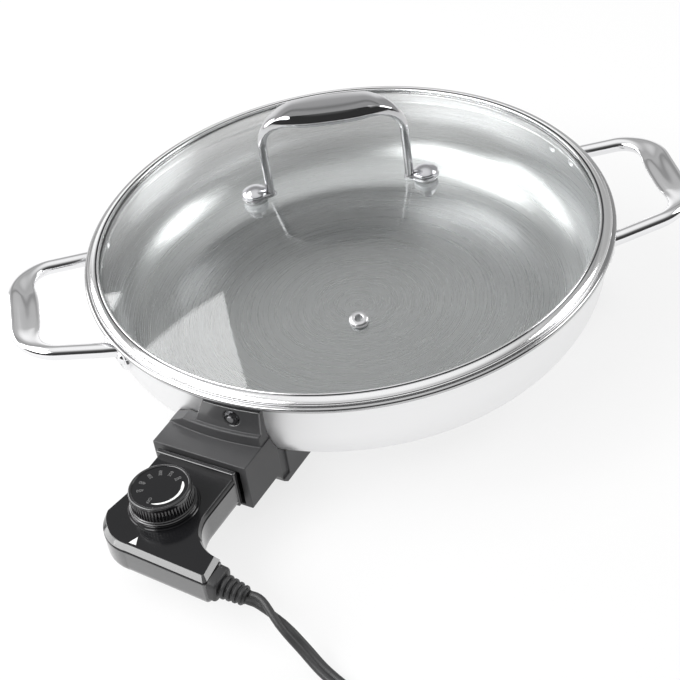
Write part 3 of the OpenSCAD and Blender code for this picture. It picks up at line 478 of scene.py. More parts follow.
# The lower shell's black is painted lighter than the cover's, a painted sheen; the guard's glossy tab uses it too,
# where it matches the hood's own tone.
PAINTED_TRAY_SHEEN_AND_TAB_BLACK = wiped("painted_tray_sheen_and_tab_black", (0.065, 0.065, 0.067), (0.16, 0.26), 60, 1600, vary=0.10, bump=0.04,
                    bump_mm=0.03, Specular_IOR_Level=0.9, Coat_Weight=0.8, Coat_Roughness=0.10)
GUARD_PLASTIC = wiped("guard_plastic", (0.060, 0.060, 0.062), (0.40, 0.52), 90, 2600,
                      vary=0.12, bump=0.16, bump_mm=0.05)
BLACK_RUBBER = wiped("black_rubber", (0.035, 0.035, 0.036), (0.38, 0.52), 110, 1900,
                     vary=0.2, bump=0.10, bump_mm=0.03)
GREY_SILICONE = wiped("grey_silicone", (0.42, 0.42, 0.43), (0.35, 0.50), 150, 2000, vary=0.06, bump=0.05)
CERAMIC = wiped("bushing_ceramic", (0.80, 0.77, 0.70), (0.30, 0.45), 200, 3000, vary=0.05, bump=0.08)
DIAL_PRINT = wiped("dial_print", (0.85, 0.85, 0.84), (0.40, 0.50), 300, 4000, vary=0.04, bump=0.02)
FAINT_PRINT = wiped("faint_print", (0.17, 0.17, 0.17), (0.40, 0.50), 300, 4000, vary=0.04, bump=0.02)
print("materials with the plastics:", len(bpy.data.materials))

# %% [markdown]
# Tempered glass is clear, with a faint green tint in its thickness. Light has to reach the bowl
# through it, so shadow rays pass a transparent shader while every other ray sees the glass.

# %% Glass finish


def glass_finish():
    """Clear glass that lets light through to what it covers."""
    material = wiped("lid_glass", (0.97, 0.985, 0.98), (0.012, 0.03), 30, 600, vary=0.006, bump=0.004,
                     Transmission_Weight=1.0, IOR=1.5)
    tree = material.node_tree
    rays = add_node(tree, "ShaderNodeLightPath")
    clear = add_node(tree, "ShaderNodeBsdfTransparent", {"Color": (0.94, 0.96, 0.955, 1)})
    both = add_node(tree, "ShaderNodeMixShader", {
        0: rays.outputs["Is Shadow Ray"], 1: tree.nodes["Principled BSDF"].outputs[0], 2: clear.outputs[0]})
    tree.links.new(both.outputs[0], tree.nodes["Material Output"].inputs["Surface"])
    return material


LID_GLASS = glass_finish()
print("glass:", LID_GLASS.name)

# %% [markdown]
# ## Cord
# The control's lead is a flat twin cord, 0.75 m long beyond its sleeve. It leaves the picture and
# lies in a tied coil on the table. Its route repeats the construction's points, its coil comes from
# the same rule, and the twin lobes with the groove between them are the outline that runs along it.
# The cord turns over once just after the sleeve, as the photograph shows. A curve with a bevel could
# make it too, but rings let the turn follow the length that has gone by.

# %% Where the cord leaves the control
cord_w, cord_t, cord_z = 7.6, 4.2, 28.5
dial_u, arm_end = 211, 49.5
cove_u, cove_r = dial_u - 3.5, 24.2
turn_u, turn_v, turn_r = dial_u + 11, -4, 24
front_lean = 3.4


def outline_front(d):
    """The u of the control's front corner on its arm, d inside the outline."""
    lean = math.radians(front_lean)
    along = (arm_end - d - turn_v + (turn_r - d) * math.sin(lean)) / math.cos(lean)
    return turn_u + (turn_r - d) * math.cos(lean) + along * math.sin(lean)


cord_u = (cove_u + cove_r + outline_front(0)) / 2
sleeve_long, sleeve_tilt = 18.6, math.radians(10)
sleeve_way = Vector((0, math.cos(sleeve_tilt), -math.sin(sleeve_tilt)))
sleeve_end = Vector((cord_u, arm_end, cord_z)) + sleeve_long * sleeve_way
print("cord leaves its sleeve at", [round(c, 1) for c in sleeve_end])

# %% Cord route
coil_r, coil_pitch, coil_in, coil_out = 48, 8.6, 1.75, 0.55
coil_step, coil_tail, coil_climb = 5.2, 52, 0.3
coil_u, coil_v, coil_a, coil_z = 318, 165, 162, cord_t / 2 + 0.7


def coil_point(s):
    """The middle of the cord s turns into its coil."""
    a = math.radians(coil_a - 360 * s)
    r = coil_r - coil_pitch * s if s < coil_in else coil_r - coil_pitch * (2 * coil_in - s)
    lift = coil_step * ease(1 + (s - coil_in) / coil_climb)
    return Vector((coil_u + r * math.cos(a), coil_v + r * math.sin(a), coil_z + lift))


def tangent_at(s):
    """The way that the coil runs at s turns."""
    a = math.radians(coil_a - 360 * s)
    return Vector((math.sin(a), -math.cos(a), 0))


coil_start = coil_point(0)
route = [
    sleeve_end, sleeve_end + 8 * sleeve_way, Vector((246, 92, 18.5)), Vector((249, 104, 11)),
    Vector((253, 116, 5.4)), Vector((257, 130, 2.8)), Vector((262, 148, coil_z)),
    coil_start - 16 * tangent_at(0), coil_start - 8 * tangent_at(0), coil_start,
]


def smooth_line(points, steps):
    """A smooth line through given points."""
    ends = [2 * points[0] - points[1], *points, 2 * points[-1] - points[-2]]
    line = []
    for a, b, c, d in zip(ends, ends[1:], ends[2:], ends[3:]):
        for k in range(steps):
            t = k / steps
            line.append(0.5 * (2 * b + (c - a) * t + (2 * a - 5 * b + 4 * c - d) * t * t
                               + (3 * b - a - 3 * c + d) * t ** 3))
    return line


coil_all = coil_in + coil_out
coil_count = 110
tail_way = tangent_at(coil_all)
cord_line = [sleeve_end - 4 * sleeve_way] + smooth_line(route, 5)
cord_line += [coil_point(coil_all * i / coil_count) for i in range(coil_count + 1)]
plug_at = cord_line[-1] + coil_tail * tail_way
cord_line += [cord_line[-1] + tail_way * (coil_tail + 3) * k / 6 for k in range(1, 7)]

# %% Cord mesh


def twin_outline():
    """The twin lead's section: two round lobes and the groove between them."""
    lobe = cord_t / 2
    side = cord_w / 2 - lobe
    right = arc(side, 0, lobe, -143, 143, 12)
    left = arc(-side, 0, lobe, 37, 323, 12)
    return right + left


def cord_rings():
    """Rings of the twin outline along the line, turned over once after the sleeve."""
    turn_from, turn_over = 4, 42
    outline = twin_outline()
    rings, gone = [], 0
    last = len(cord_line) - 1
    for i, p in enumerate(cord_line):
        way = (cord_line[min(i + 1, last)] - cord_line[max(i - 1, 0)]).normalized()
        if i:
            gone += (p - cord_line[i - 1]).length
        side = Vector((0, 0, 1)).cross(way).normalized()
        up = way.cross(side)
        turn = math.pi * ease((gone + turn_from) / turn_over)
        across = side * math.cos(turn) + up * math.sin(turn)
        over = up * math.cos(turn) - side * math.sin(turn)
        rings.append([tuple(p + across * x + over * y) for x, y in outline])
    return rings


cord_points, cord_faces = loft(cord_rings())
cord_mesh = mesh_of("twin_cord", turned(cord_points, GUARD_TURN), cord_faces)
twin_cord = add_piece("twin_cord", cord_mesh, "control", [BLACK_RUBBER],
                      ("cord", "cord_coil"), 50)

# %% [markdown]
# The plug is a moulded two-blade plug with a waisted grip. Its body is a skin over rounded outlines
# that swell and narrow along its length.

# %% Plug


def rounded_ring(x, half_y, half_z, power, n=40):
    """A rounded rectangle across the plug, rounder where the power is near 2."""
    ring = []
    for i in range(n):
        a = 2 * math.pi * i / n
        y, z = (math.copysign(abs(c) ** (2 / power), c) for c in (math.cos(a), math.sin(a)))
        ring.append((x, half_y * y, half_z * z))
    return ring


plug_half = coil_z + coil_step
plug_stations = [
    (0, 4.4, 4.4, 2), (0.6, 5.0, 5.0, 2), (5, 5.6, 5.6, 2), (7.2, 6.6, 6.2, 2.3), (9, 8.4, 7.0, 2.8),
    (11, 8.8, 7.2, 3), (14, 8.3, 6.9, 3), (17, 8.2, 6.8, 3), (20, 8.8, 7.1, 3.2), (21.8, 10.4, 7.3, 3.6),
    (23, 11.6, 7.4, 4), (25, 11.9, 7.4, 4), (30.6, 11.9, 7.4, 4), (31.6, 11.5, 7.0, 4), (32, 10.9, 6.4, 4),
]
plug_points, plug_faces = loft([rounded_ring(*station) for station in plug_stations])
plug_turn = math.atan2(tail_way.y, tail_way.x)
plug_points = [(x + plug_at.x, y + plug_at.y, z + plug_half)
               for x, y, z in turned(plug_points, plug_turn)]
mains_plug = add_piece("mains_plug", mesh_of("mains_plug", turned(plug_points, GUARD_TURN), plug_faces),
                       "control", [BLACK_RUBBER], ("plug_body",), 40)

# %% [markdown]
# Many pieces are already right as solids and only need edges that catch the light. A copy of the
# solid is cleaned, its sharp edges are rounded with a bevel, and weighted normals keep its flat faces
# flat. The plug's blades and the strap that holds the coil are the first of them.

# %% Copies of solids with softened edges
sharp_edge = math.radians(28)


def steady_normals(obj):
    """Normals that lean on the large faces, so that these look flat beside a rounded edge."""
    obj.modifiers.new("steady_normals", "WEIGHTED_NORMAL").keep_sharp = True


def soften(node, materials, width, zone=None):
    """A copy of a solid with its sharp edges rounded, which replaces it."""
    mesh = nodes[node].data.copy()
    mesh.name = node + "_skin"
    bm = bmesh.new()
    bm.from_mesh(mesh)
    bmesh.ops.remove_doubles(bm, verts=bm.verts, dist=2e-6)
    bmesh.ops.dissolve_limit(bm, angle_limit=math.radians(0.5), verts=bm.verts, edges=bm.edges)
    if width:
        edges = [e for e in bm.edges if e.is_manifold and e.calc_face_angle(0) > sharp_edge]
        bmesh.ops.bevel(bm, geom=edges, offset=width * MM, offset_type="OFFSET", segments=2,
                        profile=0.6, affect="EDGES", clamp_overlap=False)
    bm.to_mesh(mesh)
    bm.free()
    obj = add_piece(node + "_skin", mesh, nodes[node]["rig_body"], materials, (node,), 40)
    if zone:
        for face in mesh.polygons:
            face.material_index = zone(face.center / MM)
    steady_normals(obj)
    return obj


coil_strap = soften("coil_tie", [BLACK_RUBBER], 0.25)
blades = soften("plug_blades", [BRASS], 0.2)

# %% [markdown]
# ## Pan
# The bowl is one spun sheet: a flat floor, a round corner, an upright wall and a rim that is rolled
# into a bead. A spun form is an outline turned about its axis. The inside is brushed in circles, the
# rolled rim is polished steel painted darker as a painted reflection, and the wall outside is satin,
# so each stretch of the outline gets its finish.

# %% Pan
corner_r, floor_flat = 40, 60
corner_x = wall_r - corner_r
corner_z = floor_z + corner_r
lip_r, bead_r = 1.2, 1.7
bead_x = rim_r - bead_r
bead_z = rim_z - bead_r
inner = [(0, floor_z + sheet), (floor_flat, floor_z + sheet)]
inner += arc(corner_x, corner_z, corner_r - sheet, -90, 0, 20)
inner += [(wall_r - sheet, rim_z - 1.6)]
brushed_strips = len(inner)
inner += arc(wall_r - sheet + lip_r, rim_z - lip_r, lip_r, 180, 90, 4)
outer = arc(bead_x, bead_z, bead_r, 90, -150, 14)
outer += [(wall_r + 1.6, rim_z - 1.4)]
outer += arc(wall_r + lip_r, rim_z - 2.6, lip_r, 90, 180, 4)
wall_strip = len(inner) + len(outer) - 1
outer += arc(corner_x, corner_z, corner_r, 0, -90, 20)
outer += [(floor_flat, floor_z), (0, floor_z)]
pan_points, pan_faces, pan_strips = lathe(inner + outer, 256)
pan_mesh = mesh_of("pan_shell", pan_points, pan_faces)
add_piece("pan_shell", pan_mesh, "skillet", [POLISHED_STEEL_PAINTED_DARK, BRUSHED_BOWL, SATIN_WALL],
          ("pan_body",), 50)
# The rim's strips take the steel painted darker, a painted reflection.
for face, strip in zip(pan_mesh.polygons, pan_strips):
    face.material_index = 1 if strip < brushed_strips else 0 if strip < wall_strip else 2

# %% [markdown]
# ## Side handles
# Each handle is a bent rod whose middle is pressed into a shallow leaf for the thumb. The rod's
# section changes along its way from round to flat, so the handle is a skin over rings. The two
# plates at its ends are bent to the wall and riveted on.

# %% Side handle sizes
handle_w, handle_reach, handle_z, rod_d = 94, 206.5, 57, 9
grip_w, grip_t, handle_bend = 18.0, 6.4, 30
taper, tilt = math.radians(8), math.radians(5.5)
plate_half, plate_h = 17, 16.5
plate_out = wall_r + 2.8
leg_a = math.asin(handle_w / 2 / plate_out)
leg_x = plate_out * math.cos(leg_a)
half_w = (handle_w + rod_d) / 2
bend_x = handle_reach - handle_bend
bend_run = bend_x + handle_bend * math.sin(taper) - leg_x
bend_y = handle_bend * math.cos(taper) - half_w + bend_run * math.tan(taper)
print(f"handle legs at {math.degrees(leg_a):.1f} degrees")

# %% Side handles


def handle_stations():
    """The handle's outer edge: x, y and the angle of its outward normal."""
    start = taper - math.pi / 2
    half = [(x, -half_w + (x - leg_x) * math.tan(taper), start) for x in (leg_x, 155, 160, 165, 170)]
    for k in range(25):
        a = start * (1 - k / 24)
        half.append((bend_x + handle_bend * math.cos(a), bend_y + handle_bend * math.sin(a), a))
    middle = [(handle_reach, bend_y * (1 - k / 14), 0) for k in range(1, 28)]
    return half + middle + [(x, -y, -a) for x, y, a in reversed(half)]


def leaf_section(ra, rb, share, n=48):
    """A round section that flattens to a leaf, round outside, thin inside and dished on top."""
    power = 2 + 0.5 * share
    ring = []
    for i in range(n):
        a = 2 * math.pi * i / n
        c, s = math.cos(a), math.sin(a)
        across = math.copysign(abs(c) ** (2 / power), c)
        over = -rb * math.copysign(abs(s) ** (2 / power), s) * (1 - 0.28 * share * (1 - across) / 2)
        if over > 0:
            over -= 2.6 * share ** 2 * max(0, 1 - (across + 0.1) ** 2) ** 2
        ring.append((ra * across, over))
    return ring


def handle_rings():
    """Rings of the rod's section along the handle, the first and last seated in the wall plates."""
    rings = []
    stations = handle_stations()
    for k, (x, y, a) in enumerate(stations):
        share = max(0, 1 - abs(y / (handle_w / 2)) ** 2.6)
        ra = (rod_d * (1 - share) + grip_w * share) / 2
        rb = (rod_d * (1 - share) + grip_t * share) / 2
        out = Vector((math.cos(a), math.sin(a), 0))
        middle = Vector((x, y, 0)) - out * ra
        ring = []
        for across, over in leaf_section(ra, rb, share):
            p = middle + out * across
            if k in (0, len(stations) - 1):
                p.x = math.sqrt((wall_r + 1.4) ** 2 - p.y ** 2) - over * math.tan(tilt)
            ring.append((leg_x + (p.x - leg_x) * math.cos(tilt) - over * math.sin(tilt), p.y,
                         handle_z + (p.x - leg_x) * math.sin(tilt) + over * math.cos(tilt)))
        rings.append(ring)
    return rings


def wall_plate(middle_angle, half_length, height, inner_r, outer_r, edge=0.7, n=40):
    """A rounded plate bent to the pan's wall, with softened edges."""
    rings = []
    for shrink, r in ((0, inner_r), (0, outer_r - edge), (0.25 * edge, outer_r - 0.3 * edge), (edge, outer_r)):
        ring = []
        for i in range(n):
            a = 2 * math.pi * i / n
            side = half_length - height / 2
            y = math.copysign(side, math.cos(a)) + (height / 2 - shrink) * math.cos(a)
            z = handle_z + (height / 2 - shrink) * math.sin(a)
            turn = middle_angle + y / outer_r
            ring.append((r * math.cos(turn), r * math.sin(turn), z))
        rings.append(ring)
    return loft(rings)


handle_shell = join_shells(
    loft(handle_rings()),
    wall_plate(leg_a, plate_half, plate_h, wall_r - 0.1, plate_out),
    wall_plate(-leg_a, plate_half, plate_h, wall_r - 0.1, plate_out),
)
for side, angle in (("right", 0), ("left", math.pi)):
    handle_mesh = mesh_of(f"{side}_handle", turned(handle_shell[0], angle), handle_shell[1])
    add_piece(f"{side}_handle", handle_mesh, "skillet", [CHROME], (f"handle_{side}",), 45)

# %% [markdown]
# ## Copies by Geometry Nodes
# Rivets, bolts and screws repeat, and so do the ribs of the dial. One tree puts a shape on a row of
# stations, facing the way that each station's facing attribute says. Another puts a shape round a
# circle. Both end in Realize Instances and Set Material, and the result becomes a plain mesh.

# %% What both trees share


def geometry_tree(name, inputs):
    """A Geometry Nodes tree with named inputs, what it is given and what it puts out."""
    tree = bpy.data.node_groups.new(name, "GeometryNodeTree")
    tree.interface.new_socket("Geometry", in_out="OUTPUT", socket_type="NodeSocketGeometry")
    for label, kind, value in inputs:
        socket = tree.interface.new_socket(label, in_out="INPUT", socket_type="NodeSocket" + kind)
        if value is not None:
            socket.default_value = value
    return tree, tree.nodes.new("NodeGroupInput").outputs, tree.nodes.new("NodeGroupOutput").inputs


def end_tree(tree, given, result, points, rotation, **more):
    """Put the shape on the points, realize the copies and give them their material."""
    shape = add_node(tree, "GeometryNodeObjectInfo", {"Object": given["Shape"]}).outputs["Geometry"]
    copies = add_node(tree, "GeometryNodeInstanceOnPoints",
                      {"Points": points, "Instance": shape, "Rotation": rotation, **more})
    real = add_node(tree, "GeometryNodeRealizeInstances", {0: copies.outputs[0]})
    paint = add_node(tree, "GeometryNodeSetMaterial", {"Geometry": real.outputs[0], "Material": given["Finish"]})
    tree.links.new(paint.outputs[0], result[0])


# %% The two trees


def stations_tree():
    """Copies of a shape on points, each turned to its facing attribute and sized by its share."""
    tree, given, result = geometry_tree("copies_on_stations", [
        ("Stations", "Geometry", None), ("Shape", "Object", None), ("Size", "Float", 1.0),
        ("Finish", "Material", None)])
    facing = add_node(tree, "GeometryNodeInputNamedAttribute", {"Name": "facing"}, data_type="FLOAT_VECTOR")
    share = add_node(tree, "GeometryNodeInputNamedAttribute", {"Name": "share"}, data_type="FLOAT")
    turn = add_node(tree, "FunctionNodeAlignRotationToVector", {"Vector": facing.outputs["Attribute"]}, axis="Z")
    size = add_node(tree, "ShaderNodeMath", {0: share.outputs["Attribute"], 1: given["Size"]}, operation="MULTIPLY")
    end_tree(tree, given, result, given["Stations"], turn.outputs["Rotation"], Scale=size.outputs[0])
    return tree


def ring_tree():
    """Copies of a shape round a circle, each turned outwards."""
    tree, given, result = geometry_tree("copies_round_a_ring", [
        ("Shape", "Object", None), ("Count", "Int", 44), ("Radius", "Float", 0.017), ("Start", "Float", 0.0),
        ("Step", "Float", 0.1), ("Finish", "Material", None)])
    index = add_node(tree, "GeometryNodeInputIndex").outputs[0]
    angle = add_node(tree, "ShaderNodeMath", {0: index, 1: given["Step"], 2: given["Start"]},
                     operation="MULTIPLY_ADD").outputs[0]
    out = add_node(tree, "ShaderNodeCombineXYZ", {"X": given["Radius"]}).outputs[0]
    place = add_node(tree, "ShaderNodeVectorRotate", {"Vector": out, "Angle": angle},
                     rotation_type="Z_AXIS").outputs[0]
    points = add_node(tree, "GeometryNodePoints", {"Count": given["Count"]}).outputs[0]
    moved = add_node(tree, "GeometryNodeSetPosition", {"Geometry": points, "Position": place}).outputs[0]
    turn = add_node(tree, "ShaderNodeCombineXYZ", {"Z": angle}).outputs[0]
    end_tree(tree, given, result, moved, turn)
    return tree


STATIONS_TREE = stations_tree()
RING_TREE = ring_tree()
print("trees:", STATIONS_TREE.name, RING_TREE.name)

# %% From a tree to a plain mesh


def grown(tree, base_mesh, shape_mesh, **values):
    """The plain mesh that a tree makes from a base mesh and a shape."""
    scene_objects = bpy.context.scene.collection.objects
    carrier = bpy.data.objects.new("carrier", base_mesh)
    shape = bpy.data.objects.new("shape", shape_mesh)
    scene_objects.link(carrier)
    scene_objects.link(shape)
    modifier = carrier.modifiers.new("grow", "NODES")
    modifier.node_group = tree
    values["Shape"] = shape
    for item in tree.interface.items_tree:
        if item.in_out == "INPUT" and item.name in values:
            modifier[item.identifier] = values[item.name]
    graph = bpy.context.evaluated_depsgraph_get()
    mesh = bpy.data.meshes.new_from_object(carrier.evaluated_get(graph))
    carrier.modifiers.remove(modifier)
    bpy.data.objects.remove(carrier)
    bpy.data.objects.remove(shape)
    return mesh


def station_mesh(stations):
    """Points with a facing and a share attribute, from places, directions and shares of the size."""
    mesh = bpy.data.meshes.new("stations")
    mesh.from_pydata([tuple(c * MM for c in place) for place, _, _ in stations], [], [])
    mesh.attributes.new("facing", "FLOAT_VECTOR", "POINT")
    mesh.attributes.new("share", "FLOAT", "POINT")
    for k, (_, way, part) in enumerate(stations):
        mesh.attributes["facing"].data[k].vector = way
        mesh.attributes["share"].data[k].value = part
    return mesh


# %% [markdown]
# ## Rivets
# Four rivets hold each handle's plates. A rivet is a low dome outside the plate and a flatter head
# inside the bowl. One turned shape is copied to eight stations, and each copy faces outwards.

# %% Rivets


def dome_profile(r, h, steps=8):
    """Outline of a domed head of radius r and height h, with a short seat below it."""
    big = (r * r + h * h) / (2 * h)
    span = math.degrees(math.asin(r / big))
    return [(0, -0.4), (r - 0.3, -0.4), (r, 0)] + arc(0, h - big, big, 90 - span, 90, steps)[1:]


rivet_stations = []
rivet_step = 10.5 / plate_out
for side in (0, math.pi):
    for leg in (-1, 1):
        for end in (-1, 1):
            a = side + leg * leg_a + end * rivet_step
            way = (math.cos(a), math.sin(a), 0)
            rivet_stations.append(((way[0] * plate_out, way[1] * plate_out, handle_z), way, 1.0))
rivet_points, rivet_faces, _ = lathe(dome_profile(4, 2), 40)
head_points, head_faces, _ = lathe(dome_profile(3.6, 1.2), 40)
sheet_gap = plate_out - (wall_r - sheet)
head_points = [(x, -y, -z - sheet_gap) for x, y, z in head_points]
rivet_shape = mesh_of("rivet", *join_shells((rivet_points, rivet_faces), (head_points, head_faces)))
rivet_mesh = grown(STATIONS_TREE, station_mesh(rivet_stations), rivet_shape, Size=1.0, Finish=CHROME)
add_piece("handle_rivet_heads", rivet_mesh, "skillet", [CHROME], ("handle_rivets",), 50)

# %% [markdown]
# ## Lid
# The lid is a shallow dome of tempered glass in a steel band, with an arched handle bolted through
# it and a small steel vent. The dome and the band are turned outlines. The band has a short skirt
# with a rolled hem that reaches down inside the bowl and shows through the glass as a pale ring.

# %% Lid glass
edge_r, edge_rise, lid_rise, glass_t = wall_r - 3, 2, 33.5, 4
edge_z = rim_z + edge_rise
dome_r = (edge_r ** 2 + (lid_rise - edge_rise) ** 2) / (2 * (lid_rise - edge_rise))
dome_z = rim_z + lid_rise - dome_r


def glass_height(r, depth=0):
    """Height of the dome's outside, or of a face depth below it, at radius r."""
    return dome_z + math.sqrt((dome_r - depth) ** 2 - r * r)


glass_steps = [edge_r * k / 48 for k in range(49)]
glass_profile = [(r, glass_height(r)) for r in glass_steps]
glass_profile += [(r, glass_height(r, glass_t)) for r in reversed(glass_steps)]
glass_points, glass_faces, _ = lathe(glass_profile, 256)
glass_mesh = mesh_of("lid_dome", glass_points, glass_faces)
add_piece("lid_dome", glass_mesh, "lid", [LID_GLASS], ("lid_glass",), 50)

# %% [markdown]
# The band is a folded strip. Its outline starts at the flange under the glass, goes down the skirt to
# its hem, up again outside, over the rim and back to the glass. The dark gap between the band and the
# bead that holds the glass is painted shade: its strips are coloured nearly black. The skirt's inner
# face is polished steel painted darker, a painted reflection.

# %% Lid band
band_low = glass_height(edge_r, glass_t) - 1
skirt_low, hem_r = rim_z - 9.6, 0.9
band_profile = [(edge_r - 2.2, band_low + 0.3), (edge_r - 1.9, band_low), (edge_r - 0.7, band_low)]
skirt_strip = len(band_profile) - 1
band_profile += [(edge_r - 0.5, band_low - 0.2), (edge_r - 0.5, skirt_low + 2)]
band_profile += arc(edge_r - 0.2, skirt_low + hem_r, hem_r, 110, 350, 14)
band_profile += [(edge_r + 0.7, skirt_low + 1.1), (edge_r + 0.7, rim_z - 1), (edge_r + 1, rim_z - 0.6),
                 (edge_r + 1, rim_z + 0.05), (rim_r - 3.0, rim_z + 0.05)]
band_profile += arc(rim_r - 3.1, rim_z + 0.75, 0.7, -80, 0, 4)
band_profile += arc(rim_r - 3.4, rim_z + 1.2, 1.0, 5, 50, 5)
band_profile += arc(edge_r + 0.4, rim_z - 3.1, 6.7, 46, 80, 10)
painted_shade_strip = len(band_profile) - 1
band_profile += [(edge_r + 1.15, rim_z + 3.2), (edge_r + 0.75, rim_z + 3.1)]
band_profile += arc(edge_r - 0.05, rim_z + 3.05, 0.7, 5, 180, 10)
band_profile += [(edge_r - 0.8, glass_height(edge_r - 0.8) + 0.1), (edge_r, edge_z + 0.1),
                 (edge_r, band_low + 1), (edge_r - 2.2, band_low + 1)]
band_points, band_faces, band_strips = lathe(band_profile, 256)
band_mesh = mesh_of("lid_rim_band", band_points, band_faces)
add_piece("lid_rim_band", band_mesh, "lid", [LID_STEEL, STEEL_PAINTED_SHADE, POLISHED_STEEL_PAINTED_DARK],
          ("lid_band",), 50)
# The gap strips take the painted shade, and the skirt's strips the steel painted darker.
strip_finish_and_painted_shade = {painted_shade_strip + k: 1 for k in range(3)} | {skirt_strip + k: 2 for k in range(2)}
for face, strip in zip(band_mesh.polygons, band_strips):
    face.material_index = strip_finish_and_painted_shade.get(strip, 0)

# %% [markdown]
# The lid's handle is a bent rod that broadens to a leaf on top, and its feet are flat tabs. Each ring
# of the skin is a mix of a round section and the leaf's section, which has a slight crown and a steep
# bevel along its edges. The bevel towards the viewer is what shows as a dark band.

# %% Lid handle
bolt_x, tab_t = 50, 2.5
lid_leg_x, lid_rod, lid_bend, lid_grip, lid_stands = 41, 5, 24, 24, 55
tab_z = glass_height(bolt_x - 7) + 0.6
lid_top = tab_z + tab_t + lid_stands
lid_out = lid_leg_x + lid_rod / 2


def lid_stations():
    """The arch's outer edge: x, z and the angle of its outward normal."""
    legs = (tab_z + 0.4, tab_z + 6, tab_z + 12, tab_z + 20, lid_top - lid_bend - 3)
    half = [(-lid_out, z, 180) for z in legs]
    half += [(-lid_out + lid_bend - lid_bend * math.cos(math.radians(a)),
              lid_top - lid_bend + lid_bend * math.sin(math.radians(a)), 180 - a) for a in range(0, 91, 4)]
    straight = lid_out - lid_bend
    half += [(-straight * (1 - k / 10), lid_top, 90) for k in range(1, 10)]
    return half + [(0, lid_top, 90)] + [(-x, z, 180 - a) for x, z, a in reversed(half)]


def arch_section(ra, rb, spread, half=24):
    """A round section that flattens to a leaf with a slight crown and steep bevels along its edges."""
    crown, bevel_w, bevel_slope = 0.9, 2.4, 2.15
    ring = []
    for k in range(2 * half):
        a = math.pi * (k / half - 0.5)
        share, round_over = math.sin(a), ra * math.cos(a)
        if k <= half:
            leaf_over = min(ra - crown * share ** 2, ra - bevel_slope * (abs(share) * rb - (rb - bevel_w)))
        else:
            leaf_over = -ra * math.sqrt(1 - abs(share) ** 6)
        ring.append((-rb * share, round_over + (leaf_over - round_over) * spread))
    return ring


def lid_handle_rings():
    """Rings along the arch, from thin legs to a broad leaf on top."""
    rings = []
    for x, z, degrees in lid_stations():
        spread = 1 - (abs(x) / lid_out) ** 2.6 if z > lid_top - lid_bend else 0
        ra = lid_rod / 2 + 2.4 * spread
        rb = (lid_rod * (1 - spread) + lid_grip * spread) / 2
        a = math.radians(degrees)
        out = Vector((math.cos(a), 0, math.sin(a)))
        middle = Vector((x, 0, z)) - out * ra
        rings.append([tuple(middle + out * over + Vector((0, across, 0)))
                      for across, over in arch_section(ra, rb, spread)])
    return rings


def tab_rings(n=48):
    """A foot of the arch: a flat tab with a round end and softened edges."""
    edge = ((0.6, 0), (0.15, 0.2), (0, 0.6), (0, tab_t - 0.7), (0.2, tab_t - 0.2), (0.7, tab_t))
    end_r, neck_r = 8, 5
    rings = []
    for shrink, z in edge:
        ring = []
        for i in range(n):
            a = 2 * math.pi * i / n
            x, y = math.cos(a), math.sin(a)
            wide = end_r if x > 0 else neck_r + (end_r - neck_r) * ease(1 + x * 1.6)
            reach = end_r if x > 0 else bolt_x - lid_leg_x + lid_rod / 2 + 1
            ring.append((bolt_x + x * (reach - shrink), y * (wide - shrink), tab_z + z))
        rings.append(ring)
    return rings


tab_right = loft(tab_rings())
tab_left = (turned(tab_right[0], math.pi), tab_right[1])
arch_points, arch_faces = join_shells(loft(lid_handle_rings()), tab_right, tab_left)
arch_mesh = mesh_of("lid_arch", turned(arch_points, LID_TURN), arch_faces)
# The arch's steel is painted darker than the side handles', a painted reflection.
add_piece("lid_arch", arch_mesh, "lid", [ARCH_STEEL_PAINTED_DARK], ("lid_handle",), 45)

# %% [markdown]
# Two bolts with broad low heads hold the arch through the glass. They are a turned outline, copied by
# the tree for stations. The vent is a turned eyelet, leaned to the slope of the dome. Washers, seals
# and nuts are copies of their solids.

# %% Lid bolts
bolt_places = turned([(bolt_x, 0, tab_z + tab_t), (-bolt_x, 0, tab_z + tab_t)], LID_TURN)
nut_z = glass_height(bolt_x + 7, glass_t) - 2.6
shank_r, head_r = 2.5, 7.6
shank_low = nut_z - 7 - tab_z - tab_t
bolt_profile = [(0, shank_low), (shank_r - 0.5, shank_low), (shank_r, shank_low + 0.5), (shank_r, 0),
                (head_r - 0.4, 0), (head_r, 0.4), (head_r, 0.9)]
bolt_profile += [(r, z + 1.2) for r, z in dome_profile(head_r, 3.2, 12)[2:]]
bolt_points, bolt_faces, _ = lathe(bolt_profile, 64)
bolt_shape = mesh_of("lid_bolt", bolt_points, bolt_faces)
bolt_stations = station_mesh([(p, (0, 0, 1), 1.0) for p in bolt_places])
bolt_mesh = grown(STATIONS_TREE, bolt_stations, bolt_shape, Size=1.0, Finish=BOLT_STEEL)
add_piece("lid_bolt_heads", bolt_mesh, "lid", [BOLT_STEEL], ("lid_bolts",), 50)

# %% Vent, washers, seals and nuts
vent_reach, vent_turn = 108.5, LID_TURN + math.radians(-88)
vent_lean = math.asin(vent_reach / dome_r)
vent_profile = [(2, -glass_t - 1.2), (4.7, -glass_t - 1.2), (5, -glass_t - 0.9), (5, -glass_t - 0.1),
                (3.3, -glass_t - 0.1), (3.3, 0.05), (5.3, 0.05), (5.6, 0.3)]
vent_profile += arc(3.4, 0.3, 2.2, 0, 90, 6)[1:] + arc(2.7, 1.8, 0.7, 90, 180, 4)
vent_points, vent_faces, _ = lathe(vent_profile, 64)
vent_place = (Matrix.Rotation(vent_turn, 4, "Z") @ Matrix.Translation((0, 0, dome_z * MM))
              @ Matrix.Rotation(vent_lean, 4, "Y") @ Matrix.Translation((0, 0, dome_r * MM)))
vent_mesh = mesh_of("steam_eyelet", vent_points, vent_faces, vent_place)
add_piece("steam_eyelet", vent_mesh, "lid", [SATIN_STEEL], ("steam_vent",), 45)

